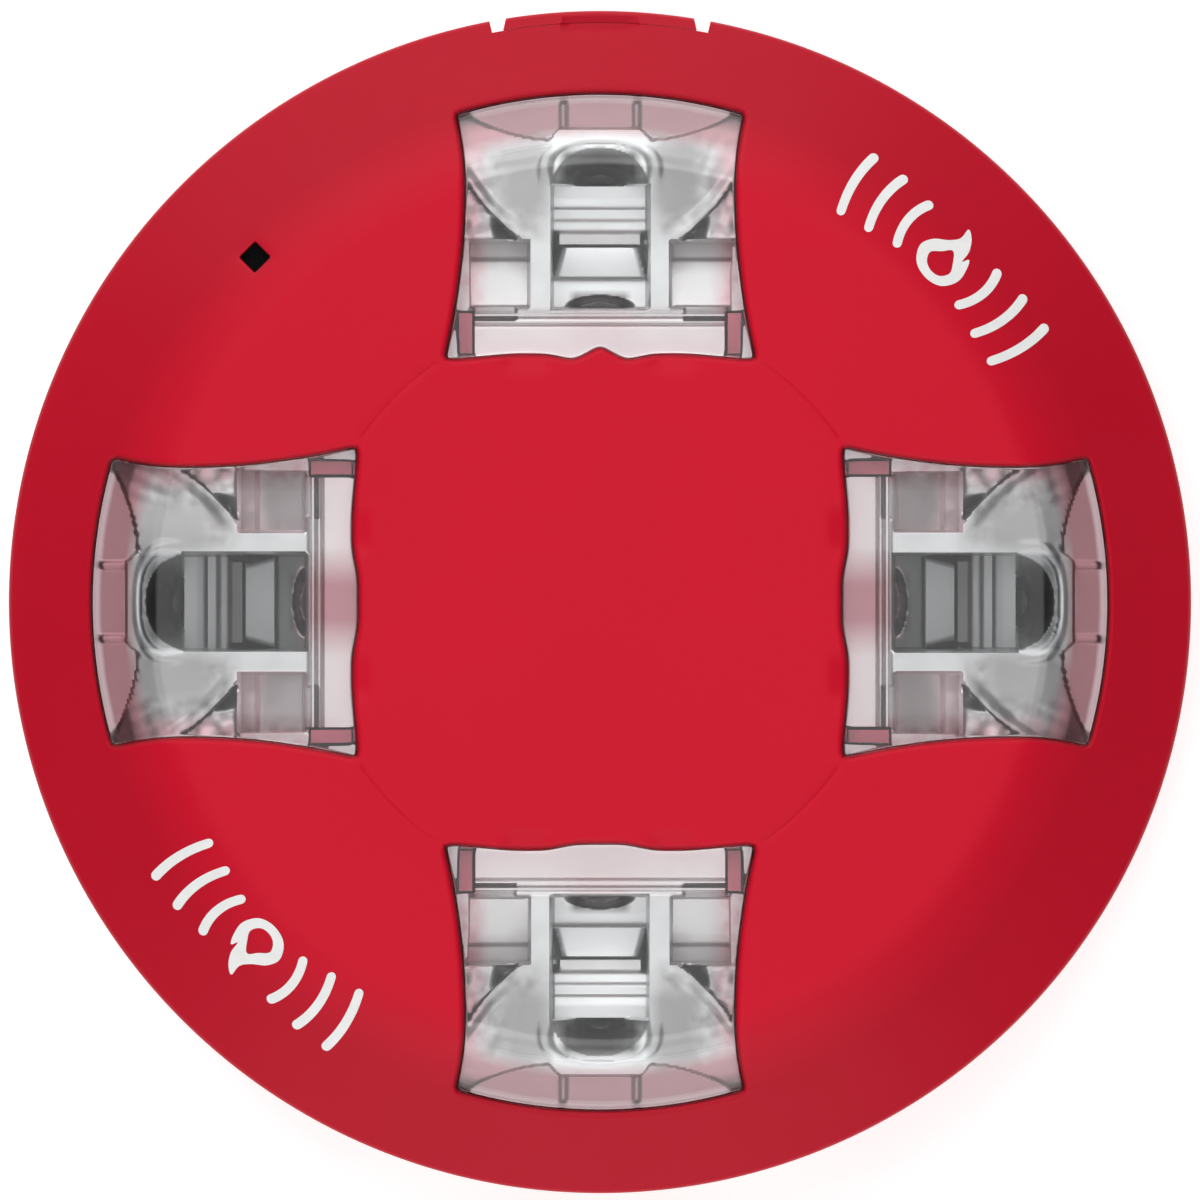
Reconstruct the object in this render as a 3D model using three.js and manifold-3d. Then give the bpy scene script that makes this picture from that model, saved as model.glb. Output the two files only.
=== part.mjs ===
// Ceiling horn strobe with four LED windows, as an assembly of separate pieces.
// Millimetres. The origin is the centre of the mounting plate's back face, +Z points out of the
// front of the device, and +Y points to the release latch.
import * as THREE from 'three';
import { mergeVertices } from 'three/addons/utils/BufferGeometryUtils.js';
import Module from 'manifold-3d';

const wasm = await Module();
wasm.setup();

// ---------------------------------------------------------------- driving dimensions

const GAP = 0.3; // free space between neighbouring pieces
const QUARTER = Math.PI / 2;
const TURNS = [0, 1, 2, 3]; // quarter turns: right, top, left and bottom window
const TOP_WINDOW = 1;
const ROUND = 60; // sides of the large round pieces

// Front cover: a flat centre, a nearly flat ring, a steeper outer ring and a skirt.
const COVER_TOP = 42;
const FLAT_R = 41.5;
const RIDGE_R = 65.2;
const RIDGE_Z = 40.2;
const CAP_EDGE_R = 84.9;
const CAP_EDGE_Z = 27.9;
const SKIRT_TOP_R = 86.1;
const SKIRT_TOP_Z = 26.4;
const SKIRT_R = 86.5;
const SKIRT_INNER_R = 84.3;
const SKIRT_BOTTOM = 2;
const SKIRT_STRAIGHT_TOP = 10; // the skirt is upright to here, then draws in slightly
const CAP_WALL = 2.3; // measured along Z
const CAP_LOW = 22; // the cap and the skirt below it meet here

// One window, in its own frame: u runs outwards along the radius, v across it.
const WINDOW_OUTER_R = 73.8;
const WINDOW_OUTER_V = 20.9; // half width at the outer corners
const WINDOW_WAIST_U = 60;
const WINDOW_WAIST_V = 19.5;
const WINDOW_CORNER_U = 35.2;
const WINDOW_CORNER_V = 22.4;
const WINDOW_DIP_U = 35.95; // the inner edge dips beside a central swell
const WINDOW_DIP_V = 9;
const WINDOW_SWELL_U = 35.05;
const POINTER = { halfWidth: 3.4, height: 2.1 }; // index mark on the top window's inner edge

const LENS_FLANGE = 1.8; // how far the lens reaches behind the cover
const LENS_DEPTHS = { pad: 1.3, flange: 2.6, back: 4.4 }; // below the cover's outer face
const REFLECTOR_DEPTH = 4.8;

// Sound port and horn, in the upper left quadrant.
const HORN_ANGLE = 0.75 * Math.PI;
const PORT_R = 70.7;
const PORT_SIDE = 3.2;
const HORN_CENTRE_R = 60;
const HORN_R = 17;

// Release latch: a tab in the skirt between two slits, with an arm inside a catch wall.
const SLIT_OUTER_X = 16;
const TAB_X = 13.7;
const TAB_INNER_R = 84.6;
const LATCH_ARM_X = 7;
const CATCH_X = 9;

// Heights of the stack behind the cover.
const PLATE_R = 82;
const PLATE_TOP = 2.5;
const PLATE_RIM_INNER_R = 79.8;
const PLATE_RIM_TOP = 7.6;
const REAR_WALL = { inner: 81.7, outer: 83.9, low: 8, high: 22 };
const REAR_FLOOR = { low: 14, high: 16 };
const BOARD = { r: 78, low: 18, high: 19.6 };
const ON_BOARD = BOARD.high + GAP;
const UNDER_BOARD = BOARD.low - GAP;

// Hinge of the head: hooks on the rear cover around bars on the plate.
const HINGE = { y: -80.2, z: 3.6, barR: 1.2, hookInnerR: 1.55, hookOuterR: 2.7 };
const HOOK_X = 8.5;
const HOOK_HALF_WIDTH = 3.7;
const HOOK_NOTCH_HALF_WIDTH = 4.5;
const HINGE_CHEEK_TOP = 5.4;
const SKIRT_RELIEF = { halfWidth: 33, top: 6 };

// Screw posts between the windows.
const POST_R = 77;
const POST_ANGLE = THREE.MathUtils.degToRad(23);
const POST_RADIUS = 3.4;

// Terminals: one set of positions for screws, clamps, slots and blades.
const TERMINAL_X = [-13.5, -4.5, 4.5, 13.5];
const TERMINAL_SCREW_Y = 24.3;
const BLADE_Y = 30.8;
const TERMINAL_BLOCK = { halfX: 19, lowY: 20.5, highY: 34, low: PLATE_TOP + GAP, high: 12.4 };
const WELL_FLOOR = 7;

const CANDELA = { x: -34, y: -30.5, travel: 9, stemLength: 3 };
const TONE = { x: 34, y: -30, dialR: 4 };

// ---------------------------------------------------------------- solids from three.js geometry

function solid(geometry) {
  const bare = geometry.clone();
  bare.deleteAttribute('normal');
  bare.deleteAttribute('uv');
  const merged = mergeVertices(bare, 1e-4);
  const corners = merged.index.array;
  const triangles = [];
  for (let i = 0; i < corners.length; i += 3) {
    const [a, b, c] = corners.slice(i, i + 3);
    const collapsed = a === b || b === c || c === a;
    if (!collapsed) triangles.push(a, b, c);
  }
  return new wasm.Manifold(new wasm.Mesh({
    numProp: 3,
    vertProperties: new Float32Array(merged.attributes.position.array),
    triVerts: new Uint32Array(triangles),
  }));
}

function surface(body) {
  const { vertProperties, triVerts } = body.getMesh();
  const geometry = new THREE.BufferGeometry();
  geometry.setAttribute('position', new THREE.BufferAttribute(vertProperties, 3));
  geometry.setIndex(new THREE.BufferAttribute(triVerts, 1));
  geometry.computeVertexNormals();
  return geometry;
}

function union(bodies) {
  return bodies.reduce((whole, body) => whole.add(body));
}

function cut(body, tools) {
  return tools.reduce((rest, tool) => rest.subtract(tool), body);
}

function block([x0, x1], [y0, y1], [z0, z1]) {
  const geometry = new THREE.BoxGeometry(x1 - x0, y1 - y0, z1 - z0);
  return solid(geometry.translate((x0 + x1) / 2, (y0 + y1) / 2, (z0 + z1) / 2));
}

function rod(r, [z0, z1], x = 0, y = 0, sides = 20) {
  const geometry = new THREE.CylinderGeometry(r, r, z1 - z0, sides);
  return solid(geometry.rotateX(QUARTER).translate(x, y, (z0 + z1) / 2));
}

// A profile of [radius, height] points, anticlockwise, turned about the Z axis.
function turned(profile, sides = ROUND) {
  const points = profile.map(([r, z]) => new THREE.Vector2(r, z));
  return solid(new THREE.LatheGeometry(points, sides).rotateX(QUARTER));
}

function ring(inner, outer, [z0, z1]) {
  return turned([[inner, z0], [outer, z0], [outer, z1], [inner, z1], [inner, z0]]);
}

function outline(points) {
  return new THREE.Shape(points.map(([x, y]) => new THREE.Vector2(x, y)));
}

function prism(shape, [z0, z1], curveSegments = 8) {
  const settings = { depth: z1 - z0, bevelEnabled: false, curveSegments };
  return solid(new THREE.ExtrudeGeometry(shape, settings).translate(0, 0, z0));
}

// A shape drawn in the (y, z) plane and drawn out along X.
function prismAlongX(shape, [x0, x1], curveSegments = 8) {
  const settings = { depth: x1 - x0, bevelEnabled: false, curveSegments };
  const geometry = new THREE.ExtrudeGeometry(shape, settings).translate(0, 0, x0);
  const axes = new THREE.Matrix4().makeBasis(
    new THREE.Vector3(0, 1, 0), new THREE.Vector3(0, 0, 1), new THREE.Vector3(1, 0, 0));
  return solid(geometry.applyMatrix4(axes));
}

function slot(x, y, length, width, alongX, [z0, z1]) {
  const reach = (length - width) / 2;
  const r = width / 2;
  const shape = new THREE.Shape();
  shape.absarc(reach, 0, r, -QUARTER, QUARTER);
  shape.absarc(-reach, 0, r, QUARTER, 3 * QUARTER);
  const body = prism(shape, [z0, z1], 6);
  return (alongX ? body : body.rotate([0, 0, 90])).translate([x, y, 0]);
}

function quarterTurned(body, turn) {
  return body.rotate([0, 0, 90 * turn]);
}

// ---------------------------------------------------------------- shared forms

function capHeight(r) {
  if (r <= FLAT_R) return COVER_TOP;
  const inner = r <= RIDGE_R;
  const [r0, z0] = inner ? [FLAT_R, COVER_TOP] : [RIDGE_R, RIDGE_Z];
  const [r1, z1] = inner ? [RIDGE_R, RIDGE_Z] : [CAP_EDGE_R, CAP_EDGE_Z];
  return z0 + ((z1 - z0) * (r - r0)) / (r1 - r0);
}

function coverOuterProfile() {
  return [
    [SKIRT_R, SKIRT_BOTTOM],
    [SKIRT_R, SKIRT_STRAIGHT_TOP],
    [SKIRT_TOP_R, SKIRT_TOP_Z],
    [85.7, 27.2],
    [CAP_EDGE_R, CAP_EDGE_Z],
    [RIDGE_R, RIDGE_Z],
    [FLAT_R, COVER_TOP],
    [0, COVER_TOP],
  ];
}

function filledCover() {
  return turned([[0, SKIRT_BOTTOM], ...coverOuterProfile()]);
}

// Everything between two depths below the cap's outer face, where the windows are.
function capBand(topDepth, bottomDepth) {
  const radii = [28, FLAT_R, RIDGE_R, 80];
  const bottom = radii.map((r) => [r, capHeight(r) - bottomDepth]);
  const top = radii.map((r) => [r, capHeight(r) - topDepth]).reverse();
  const closed = [...bottom, ...top, bottom[0]];
  return turned(closed);
}

function windowHalfWidth(u) {
  const away = u - WINDOW_WAIST_U;
  const end = away < 0 ? [WINDOW_CORNER_U, WINDOW_CORNER_V] : [windowCornerU(), WINDOW_OUTER_V];
  const reach = end[0] - WINDOW_WAIST_U;
  return WINDOW_WAIST_V + (end[1] - WINDOW_WAIST_V) * (away / reach) ** 2;
}

function windowCornerU() {
  return Math.sqrt(WINDOW_OUTER_R ** 2 - WINDOW_OUTER_V ** 2);
}

// The window's outline, grown outwards by a distance (or shrunk when it is negative).
function windowOutline(grow = 0) {
  const sideSteps = 6;
  const arcSteps = 8;
  const outerR = WINDOW_OUTER_R + grow;
  const halfAngle = Math.asin((WINDOW_OUTER_V + grow) / outerR);
  const innerU = WINDOW_CORNER_U - grow;
  const outerU = outerR * Math.cos(halfAngle);
  const side = [];
  for (let i = 0; i < sideSteps; i += 1) {
    const u = innerU + ((outerU - innerU) * i) / sideSteps;
    side.push([u, windowHalfWidth(u) + grow]);
  }
  const arc = [];
  for (let i = 0; i <= arcSteps; i += 1) {
    const angle = halfAngle * (1 - (2 * i) / arcSteps);
    arc.push([outerR * Math.cos(angle), outerR * Math.sin(angle)]);
  }
  const otherSide = side.map(([u, v]) => [u, -v]).reverse();
  const innerEdge = [
    [WINDOW_DIP_U - grow, -WINDOW_DIP_V],
    [WINDOW_SWELL_U - grow, -WINDOW_DIP_V / 2],
    [WINDOW_SWELL_U - grow, WINDOW_DIP_V / 2],
    [WINDOW_DIP_U - grow, WINDOW_DIP_V],
  ];
  return outline([...side, ...arc, ...otherSide, ...innerEdge].reverse());
}

function postPositions() {
  return TURNS.map((turn) => {
    const angle = POST_ANGLE + turn * QUARTER;
    return [POST_R * Math.cos(angle), POST_R * Math.sin(angle)];
  });
}

// A square bar along Z, with its sides square to the radius, at the sound port.
function portBar(side, heights) {
  const bar = block([PORT_R - side / 2, PORT_R + side / 2], [-side / 2, side / 2], heights);
  return bar.rotate([0, 0, THREE.MathUtils.radToDeg(HORN_ANGLE)]);
}

// ---------------------------------------------------------------- front cover and lenses

function coverShell() {
  const underside = [FLAT_R, RIDGE_R, SKIRT_INNER_R].map((r) => [r, capHeight(r) - CAP_WALL]);
  return turned([
    [0, COVER_TOP - CAP_WALL],
    ...underside,
    [SKIRT_INNER_R, SKIRT_BOTTOM],
    ...coverOuterProfile(),
  ]);
}

function frontCover() {
  const cap = coverShell().intersect(block([-100, 100], [-100, 100], [CAP_LOW, 60]));
  const postHeights = [REAR_FLOOR.high + 0.4, 50];
  const posts = postPositions().map(([x, y]) => rod(POST_RADIUS, postHeights, x, y));
  const pilots = postPositions().map(([x, y]) => rod(1.2, [10, 30], x, y, 12));
  const body = cap.add(union(posts).intersect(filledCover()));
  const port = portBar(PORT_SIDE, [25, 50]);
  return cut(body, [...windowCuts(), ...pilots, port, latchOpening()]);
}

function frontSkirt() {
  const whole = coverShell().intersect(block([-100, 100], [-100, 100], [0, CAP_LOW - GAP]));
  return cut(whole, [latchOpening(), skirtRelief()]);
}

function windowCuts() {
  const opening = prism(windowOutline(), [24, 50]);
  const pointer = prism(outline([
    [WINDOW_SWELL_U - 1, -POINTER.halfWidth],
    [WINDOW_SWELL_U, -POINTER.halfWidth],
    [WINDOW_SWELL_U + POINTER.height, 0],
    [WINDOW_SWELL_U, POINTER.halfWidth],
    [WINDOW_SWELL_U - 1, POINTER.halfWidth],
  ]), [20, 60]);
  return TURNS.map((turn) => {
    const shape = turn === TOP_WINDOW ? opening.subtract(pointer) : opening;
    return quarterTurned(shape, turn);
  });
}

function latchOpening() {
  const gate = block([-SLIT_OUTER_X, SLIT_OUTER_X], [60, 100], [-10, 60]);
  return gate.subtract(rod(SKIRT_INNER_R, [-20, 70], 0, 0, ROUND));
}

function skirtRelief() {
  const { halfWidth, top } = SKIRT_RELIEF;
  return block([-halfWidth, halfWidth], [-100, -60], [-5, top]);
}

function lens(turn) {
  const { pad, flange, back } = LENS_DEPTHS;
  const raised = prism(windowOutline(-0.35), [20, 50]).intersect(capBand(pad, flange + 0.1));
  const rim = prism(windowOutline(LENS_FLANGE), [20, 50]).intersect(capBand(flange, back));
  const body = raised.add(rim);
  if (turn !== TOP_WINDOW) return quarterTurned(body, turn);
  const clear = POINTER.height + 0.4;
  const room = block([WINDOW_SWELL_U - 1, WINDOW_SWELL_U + clear],
    [-POINTER.halfWidth - 0.5, POINTER.halfWidth + 0.5], [capHeight(0) - flange, 50]);
  return quarterTurned(body.subtract(room), turn);
}

// ---------------------------------------------------------------- strobe: reflectors and LEDs

const LED_U = 50;
const TROUGH = { inner: 42, arch: 65.8, halfWidth: 7, archHeight: 3.7, floor: 21.8 };
// The sloping pockets beside the trough, and the hollows behind them, as (u, z) profiles.
const WING_FACE = [[52, 25], [70.5, 30.5], [70.5, 60], [52, 60]];
const WING_BACK = [[53, 10], [69, 10], [69, 28.4], [53, 23.6]];

function reflector(turn) {
  const base = ON_BOARD + 0.2;
  const shell = prism(windowOutline(-1.2), [base, 50]).intersect(belowCap(REFLECTOR_DEPTH));
  const trough = new THREE.Shape();
  trough.moveTo(TROUGH.inner, -TROUGH.halfWidth);
  trough.lineTo(TROUGH.arch, -TROUGH.halfWidth);
  trough.absellipse(TROUGH.arch, 0, TROUGH.archHeight, TROUGH.halfWidth, -QUARTER, QUARTER);
  trough.lineTo(TROUGH.inner, TROUGH.halfWidth);
  const ledHole = block([LED_U - 3.3, LED_U + 3.3], [-3.3, 3.3], [10, 30]);
  const tools = [prism(trough, [TROUGH.floor, 60]), ledHole];
  for (const side of [-1, 1]) {
    const middle = 14.1 * side;
    tools.push(block([39, 52.4], [middle - 4.3, middle + 4.3], [29, 60]));
    tools.push(acrossWindow(WING_FACE, middle, 4.3));
    tools.push(block([39.6, 51.6], [middle - 3.8, middle + 3.8], [0, 27.4]));
    tools.push(acrossWindow(WING_BACK, middle, 3.8));
  }
  return quarterTurned(cut(shell, tools), turn);
}

// A profile drawn in the (u, z) plane and drawn out across the window.
function acrossWindow(profile, middle, halfWidth) {
  const settings = { depth: 2 * halfWidth, bevelEnabled: false };
  const geometry = new THREE.ExtrudeGeometry(outline(profile), settings).rotateX(QUARTER);
  return solid(geometry.translate(0, middle + halfWidth, 0));
}

function belowCap(depth) {
  const radii = [FLAT_R, RIDGE_R, 80];
  const top = radii.map((r) => [r, capHeight(r) - depth]).reverse();
  return turned([[0, 0], [80, 0], ...top, [0, COVER_TOP - depth]]);
}

function led(turn) {
  const half = 2.8;
  const dome = new THREE.SphereGeometry(2.2, 16, 10).translate(LED_U, 0, ON_BOARD + 1.4);
  const base = block([LED_U - half, LED_U + half], [-half, half], [ON_BOARD, ON_BOARD + 1.4]);
  const above = block([LED_U - 5, LED_U + 5], [-5, 5], [ON_BOARD + 0.5, 40]);
  return quarterTurned(base.add(solid(dome).intersect(above)), turn);
}

// ---------------------------------------------------------------- rear cover and board

function rearCover() {
  const { low, high } = REAR_FLOOR;
  const floorR = REAR_WALL.inner - GAP;
  const floor = turned([[0, low], [floorR, low], [floorR, high], [0, high]]);
  const standoffR = 64;
  const standoffs = TURNS.map((turn) => {
    const angle = QUARTER * (turn + 0.5);
    const place = [standoffR * Math.cos(angle), standoffR * Math.sin(angle)];
    return rod(3, [high - 0.5, UNDER_BOARD], ...place, 16);
  });
  const screwHoles = postPositions().map(([x, y]) => rod(1.9, [10, 17], x, y, 12));
  const through = [low - 1, high + 1.5];
  return cut(floor.add(union(standoffs)), [
    ...screwHoles,
    block([-16.5, 16.5], [BLADE_Y - 2.6, BLADE_Y + 2.6], through),
    block([CANDELA.x - 9, CANDELA.x + 9], [CANDELA.y - 4, CANDELA.y + 4], through),
    block([TONE.x - 6.4, TONE.x + 6.4], [TONE.y - 6.4, TONE.y + 6.4], through),
    block([-CATCH_X - 1, CATCH_X + 1], [72.5, 100], through),
    block([-TAB_X - 1.3, TAB_X + 1.3], [79, 100], through),
  ]);
}

function rearWall() {
  const { inner, outer, low, high } = REAR_WALL;
  const body = ring(inner, outer, [low, high]).add(hook(-HOOK_X)).add(hook(HOOK_X));
  return body.subtract(block([-TAB_X - 1.3, TAB_X + 1.3], [79, 100], [0, high + 1]));
}

// A claw round the hinge bar, carried by an arm that reaches in from the rear wall.
function hook(x) {
  const { hookInnerR: inner, hookOuterR: outer } = HINGE;
  const armTop = REAR_FLOOR.low - GAP - HINGE.z;
  const wall = -82.5 - HINGE.y;
  const lip = -2.4; // angle of the claw's open end, in radians
  const claw = new THREE.Shape();
  claw.moveTo(outer, armTop);
  claw.lineTo(wall, armTop);
  claw.lineTo(wall, armTop - 2.2);
  claw.lineTo(inner, armTop - 2.2);
  claw.lineTo(inner, 0);
  claw.absarc(0, 0, inner, 0, lip, true);
  claw.absarc(0, 0, outer, lip, 0, false);
  const body = prismAlongX(claw, [x - HOOK_HALF_WIDTH, x + HOOK_HALF_WIDTH], 10);
  return body.translate([0, HINGE.y, HINGE.z]);
}

function mainBoard() {
  const disc = rod(BOARD.r, [BOARD.low, BOARD.high], 0, 0, 48);
  const notches = postPositions().map(([x, y]) => rod(POST_RADIUS + 0.7, [10, 30], x, y, 16));
  return cut(disc, notches);
}

function coverScrew([x, y]) {
  const headTop = REAR_FLOOR.low - GAP;
  const headBottom = headTop - 1.8;
  const profile = [
    [0, headBottom], [2.5, headBottom], [3, headBottom + 0.5], [3, headTop],
    [0.9, headTop], [0.9, 25], [0, 26],
  ];
  const recess = block([-1.8, 1.8], [-0.4, 0.4], [headBottom - 1, headBottom + 0.8]);
  const cross = recess.add(recess.rotate([0, 0, 90]));
  return turned(profile, 12).subtract(cross).translate([x, y, 0]);
}

function contactBlade(x) {
  const foot = block([x - 1.2, x + 1.2], [BLADE_Y - 1.1, BLADE_Y + 1.1], [UNDER_BOARD - 1, UNDER_BOARD]);
  return foot.add(block([x - 0.4, x + 0.4], [BLADE_Y - 1.1, BLADE_Y + 1.1], [5.8, UNDER_BOARD - 0.5]));
}

// ---------------------------------------------------------------- horn and circuit parts

function atHorn(body) {
  return body.translate([HORN_CENTRE_R * Math.cos(HORN_ANGLE), HORN_CENTRE_R * Math.sin(HORN_ANGLE), 0]);
}

function hornChamber() {
  const wall = 1.6;
  const top = 29.8;
  const cup = turned([
    [HORN_R - wall, ON_BOARD + 0.2], [HORN_R, ON_BOARD + 0.2], [HORN_R, top - 1], [HORN_R - 1, top],
    [0, top], [0, top - wall], [HORN_R - wall, top - wall], [HORN_R - wall, ON_BOARD + 0.2],
  ], 40);
  const neck = portBar(PORT_SIDE + 2.2, [top - 1, 32.2]);
  return atHorn(cup).add(neck).subtract(portBar(PORT_SIDE, [top - wall - 1, 36]));
}

function piezoDisc() {
  const z = ON_BOARD + 2.2;
  return atHorn(turned([
    [0, z], [14.8, z], [14.8, z + 0.4], [11, z + 0.4], [11, z + 0.8], [0, z + 0.8]], 40));
}

function hornGasket() {
  const [low, high] = [ON_BOARD, ON_BOARD + 1.8];
  return atHorn(turned([[12.6, low], [15, low], [15, high], [12.6, high], [12.6, low]], 40));
}

function capacitor(x) {
  const [low, high] = [ON_BOARD, 38];
  const can = [
    [0, low], [7.6, low], [8, low + 0.5], [8, low + 1.6], [7.4, low + 2.4], [8, low + 3.2],
    [8, high - 0.6], [7.4, high], [0, high],
  ];
  return turned(can, 24).translate([x, 6, 0]);
}

function inductor() {
  const [low, high] = [ON_BOARD, 29];
  const drum = [
    [0, low], [6.5, low], [6.5, low + 1.4], [5.4, low + 1.4], [5.4, high - 1.4],
    [6.5, high - 1.4], [6.5, high], [0, high],
  ];
  return turned(drum, 24).translate([-23, -15, 0]);
}

function transformer() {
  const core = block([-9, 9], [-24, -16], [ON_BOARD, 34]);
  return core.add(block([-6.2, 6.2], [-27.5, -12.5], [ON_BOARD + 2, 32]));
}

function microcontroller() {
  return block([17, 26], [-20, -11], [ON_BOARD, ON_BOARD + 1.5]);
}

// ---------------------------------------------------------------- selectors on the back

function candelaSwitch() {
  const body = block([CANDELA.x - 8.5, CANDELA.x + 8.5], [CANDELA.y - 3.5, CANDELA.y + 3.5],
    [13.6, UNDER_BOARD]);
  const half = (CANDELA.travel + CANDELA.stemLength) / 2 + GAP;
  return body.subtract(block([CANDELA.x - half, CANDELA.x + half], [CANDELA.y - 1.2, CANDELA.y + 1.2],
    [10, 16]));
}

function candelaKnob() {
  const x = CANDELA.x - CANDELA.travel / 2;
  const half = CANDELA.stemLength / 2;
  const stem = block([x - half, x + half], [CANDELA.y - 0.85, CANDELA.y + 0.85], [12, 15.7]);
  return stem.add(block([x - 1.8, x + 1.8], [CANDELA.y - 1.9, CANDELA.y + 1.9], [11.4, 13.2]));
}

function toneSwitch() {
  const body = block([TONE.x - 5.9, TONE.x + 5.9], [TONE.y - 5.9, TONE.y + 5.9], [13.6, UNDER_BOARD]);
  return body.subtract(rod(TONE.dialR + 0.4, [10, 15.4], TONE.x, TONE.y, 32));
}

function toneDial() {
  const dial = rod(TONE.dialR, [12.4, 15.1], TONE.x, TONE.y, 32);
  return dial.subtract(block([TONE.x - 0.5, TONE.x + 0.5], [TONE.y - 3, TONE.y + 3.4], [11, 13.4]));
}

// ---------------------------------------------------------------- release latch

function releaseLatch() {
  const tab = filledCover()
    .subtract(rod(TAB_INNER_R, [-10, 60], 0, 0, ROUND))
    .intersect(block([-TAB_X, TAB_X], [60, 100], [-10, 60]));
  const arm = [-LATCH_ARM_X, LATCH_ARM_X];
  const side = outline([
    [85.2, 12.6], [85.2, 14.6], [74.6, 14.6], [74.6, 4.6], [76.4, 4.6], [78, 6.2],
    [78, 8.4], [76.6, 9.4], [76.6, 12.6],
  ]);
  return tab.add(prismAlongX(side, arm));
}

// ---------------------------------------------------------------- mounting plate and terminals

function mountingPlate() {
  const through = [-1, 10];
  const disc = turned([[0, 0], [PLATE_R, 0], [PLATE_R, PLATE_TOP], [0, PLATE_TOP]]);
  return cut(disc, [...hookNotches(through), ...screwSlots(through), wireOpening(through)]);
}

function hookNotches(heights) {
  const half = HOOK_NOTCH_HALF_WIDTH;
  return [-HOOK_X, HOOK_X].map((x) => block([x - half, x + half], [-90, HINGE.y + 3.3], heights));
}

// The plate's raised edge, with the hinge bar on one side and the catch for the latch opposite.
function plateRim() {
  const low = PLATE_TOP + GAP;
  const atHinge = block([-16.5, 16.5], [-90, -70], [HINGE_CHEEK_TOP, 20]);
  const whole = ring(PLATE_RIM_INNER_R, PLATE_R, [low, PLATE_RIM_TOP]);
  const edge = cut(whole, [atHinge, ...hookNotches([-1, 10])]);
  const cheekSpans = [[-16, -13], [-4, 4], [13, 16]];
  const cheeks = cheekSpans.map((x) => block(x, [-81.5, -77.5], [low, HINGE_CHEEK_TOP]));
  const bar = new THREE.CylinderGeometry(HINGE.barR, HINGE.barR, 31, 16).rotateZ(QUARTER);
  const underCheeks = cheekSpans.map((x) => block(x, [-90, -70], [0, low]));
  const hinge = cut(solid(bar.translate(0, HINGE.y, HINGE.z)), underCheeks);
  return edge.add(union(cheeks)).add(hinge).add(catchWall(low));
}

// Slots for the usual electrical boxes: one gang, round box, and two gangs.
function screwSlots(heights) {
  const slots = [];
  for (const side of [-1, 1]) {
    slots.push(slot(0, 41.65 * side, 13, 4.6, true, heights));
    slots.push(slot(44.45 * side, 0, 13, 4.6, false, heights));
    slots.push(slot(23 * side, 41.65, 8, 4.6, true, heights));
    slots.push(slot(23 * side, -41.65, 8, 4.6, true, heights));
  }
  return slots;
}

function wireOpening(heights) {
  const [halfX, lowY, highY, r] = [29, -20, 16, 5];
  const shape = new THREE.Shape();
  shape.absarc(halfX - r, lowY + r, r, -QUARTER, 0);
  shape.absarc(halfX - r, highY - r, r, 0, QUARTER);
  shape.absarc(-halfX + r, highY - r, r, QUARTER, 2 * QUARTER);
  shape.absarc(-halfX + r, lowY + r, r, 2 * QUARTER, 3 * QUARTER);
  return prism(shape, heights, 5);
}

// The wall that the latch arm springs behind, with a lip along its top.
function catchWall(low) {
  const side = outline([
    [81.4, low], [81.4, 12], [78.4, 12], [78.4, 11.2], [79.6, 10], [79.6, low],
  ]);
  return prismAlongX(side, [-CATCH_X, CATCH_X]);
}

function terminalBlock() {
  const { halfX, lowY, highY, low, high } = TERMINAL_BLOCK;
  const tools = TERMINAL_X.flatMap((x) => [
    block([x - 3.7, x + 3.7], [lowY - 1, 28], [WELL_FLOOR, 20]),
    rod(1.8, [4.8, 10], x, TERMINAL_SCREW_Y, 12),
    block([x - 0.8, x + 0.8], [BLADE_Y - 1.8, BLADE_Y + 1.8], [4.6, 20]),
  ]);
  return cut(block([-halfX, halfX], [lowY, highY], [low, high]), tools);
}

function terminalScrew(x) {
  const [seat, top] = [8.7, 11];
  const profile = [[0, 5.2], [1.4, 5.2], [1.4, seat], [2.9, seat], [2.9, top - 0.5], [2.4, top], [0, top]];
  const recess = block([-3.5, 3.5], [-0.45, 0.45], [top - 1, top + 1]);
  return turned(profile, 16).subtract(recess).translate([x, TERMINAL_SCREW_Y, 0]);
}

function terminalClamp(x) {
  const plate = block([x - 3.2, x + 3.2], [21.2, 27.5], [WELL_FLOOR + GAP, WELL_FLOOR + 1.4]);
  return plate.subtract(rod(1.8, [0, 20], x, TERMINAL_SCREW_Y, 12));
}

// ---------------------------------------------------------------- materials and assembly

function finish(color, roughness, metalness = 0) {
  return { color, roughness, metalness };
}

const FINISHES = {
  redCover: finish(0xce2134, 0.42),
  blackPlastic: finish(0x1b1c1e, 0.55),
  ivoryPlastic: finish(0xd8d4c8, 0.5),
  clear: { ...finish(0xf4f6f8, 0.06), transparent: true, opacity: 0.35 },
  mirror: finish(0xdfe2e6, 0.14, 1),
  phosphor: finish(0xf2dc6e, 0.35),
  board: finish(0x1f5b3a, 0.45),
  steel: finish(0xb9bcc0, 0.35, 1),
  brass: finish(0xc9a24b, 0.3, 1),
  rubber: finish(0x26282a, 0.8),
  ceramic: finish(0x2c2c30, 0.6),
  sleeve: finish(0x23273a, 0.35),
  whitePlastic: finish(0xe9e7e0, 0.45),
};

const device = new THREE.Group();

function add(name, body, look) {
  const mesh = new THREE.Mesh(surface(body), new THREE.MeshStandardMaterial(look));
  mesh.name = name;
  device.add(mesh);
}

function addEach(name, places, make, look) {
  places.forEach((place, i) => add(`${name}_${i + 1}`, make(place), look));
}

const WINDOWS_FROM_TOP = [1, 2, 3, 0]; // quarter turns of windows 1 to 4: top, left, bottom, right

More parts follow.
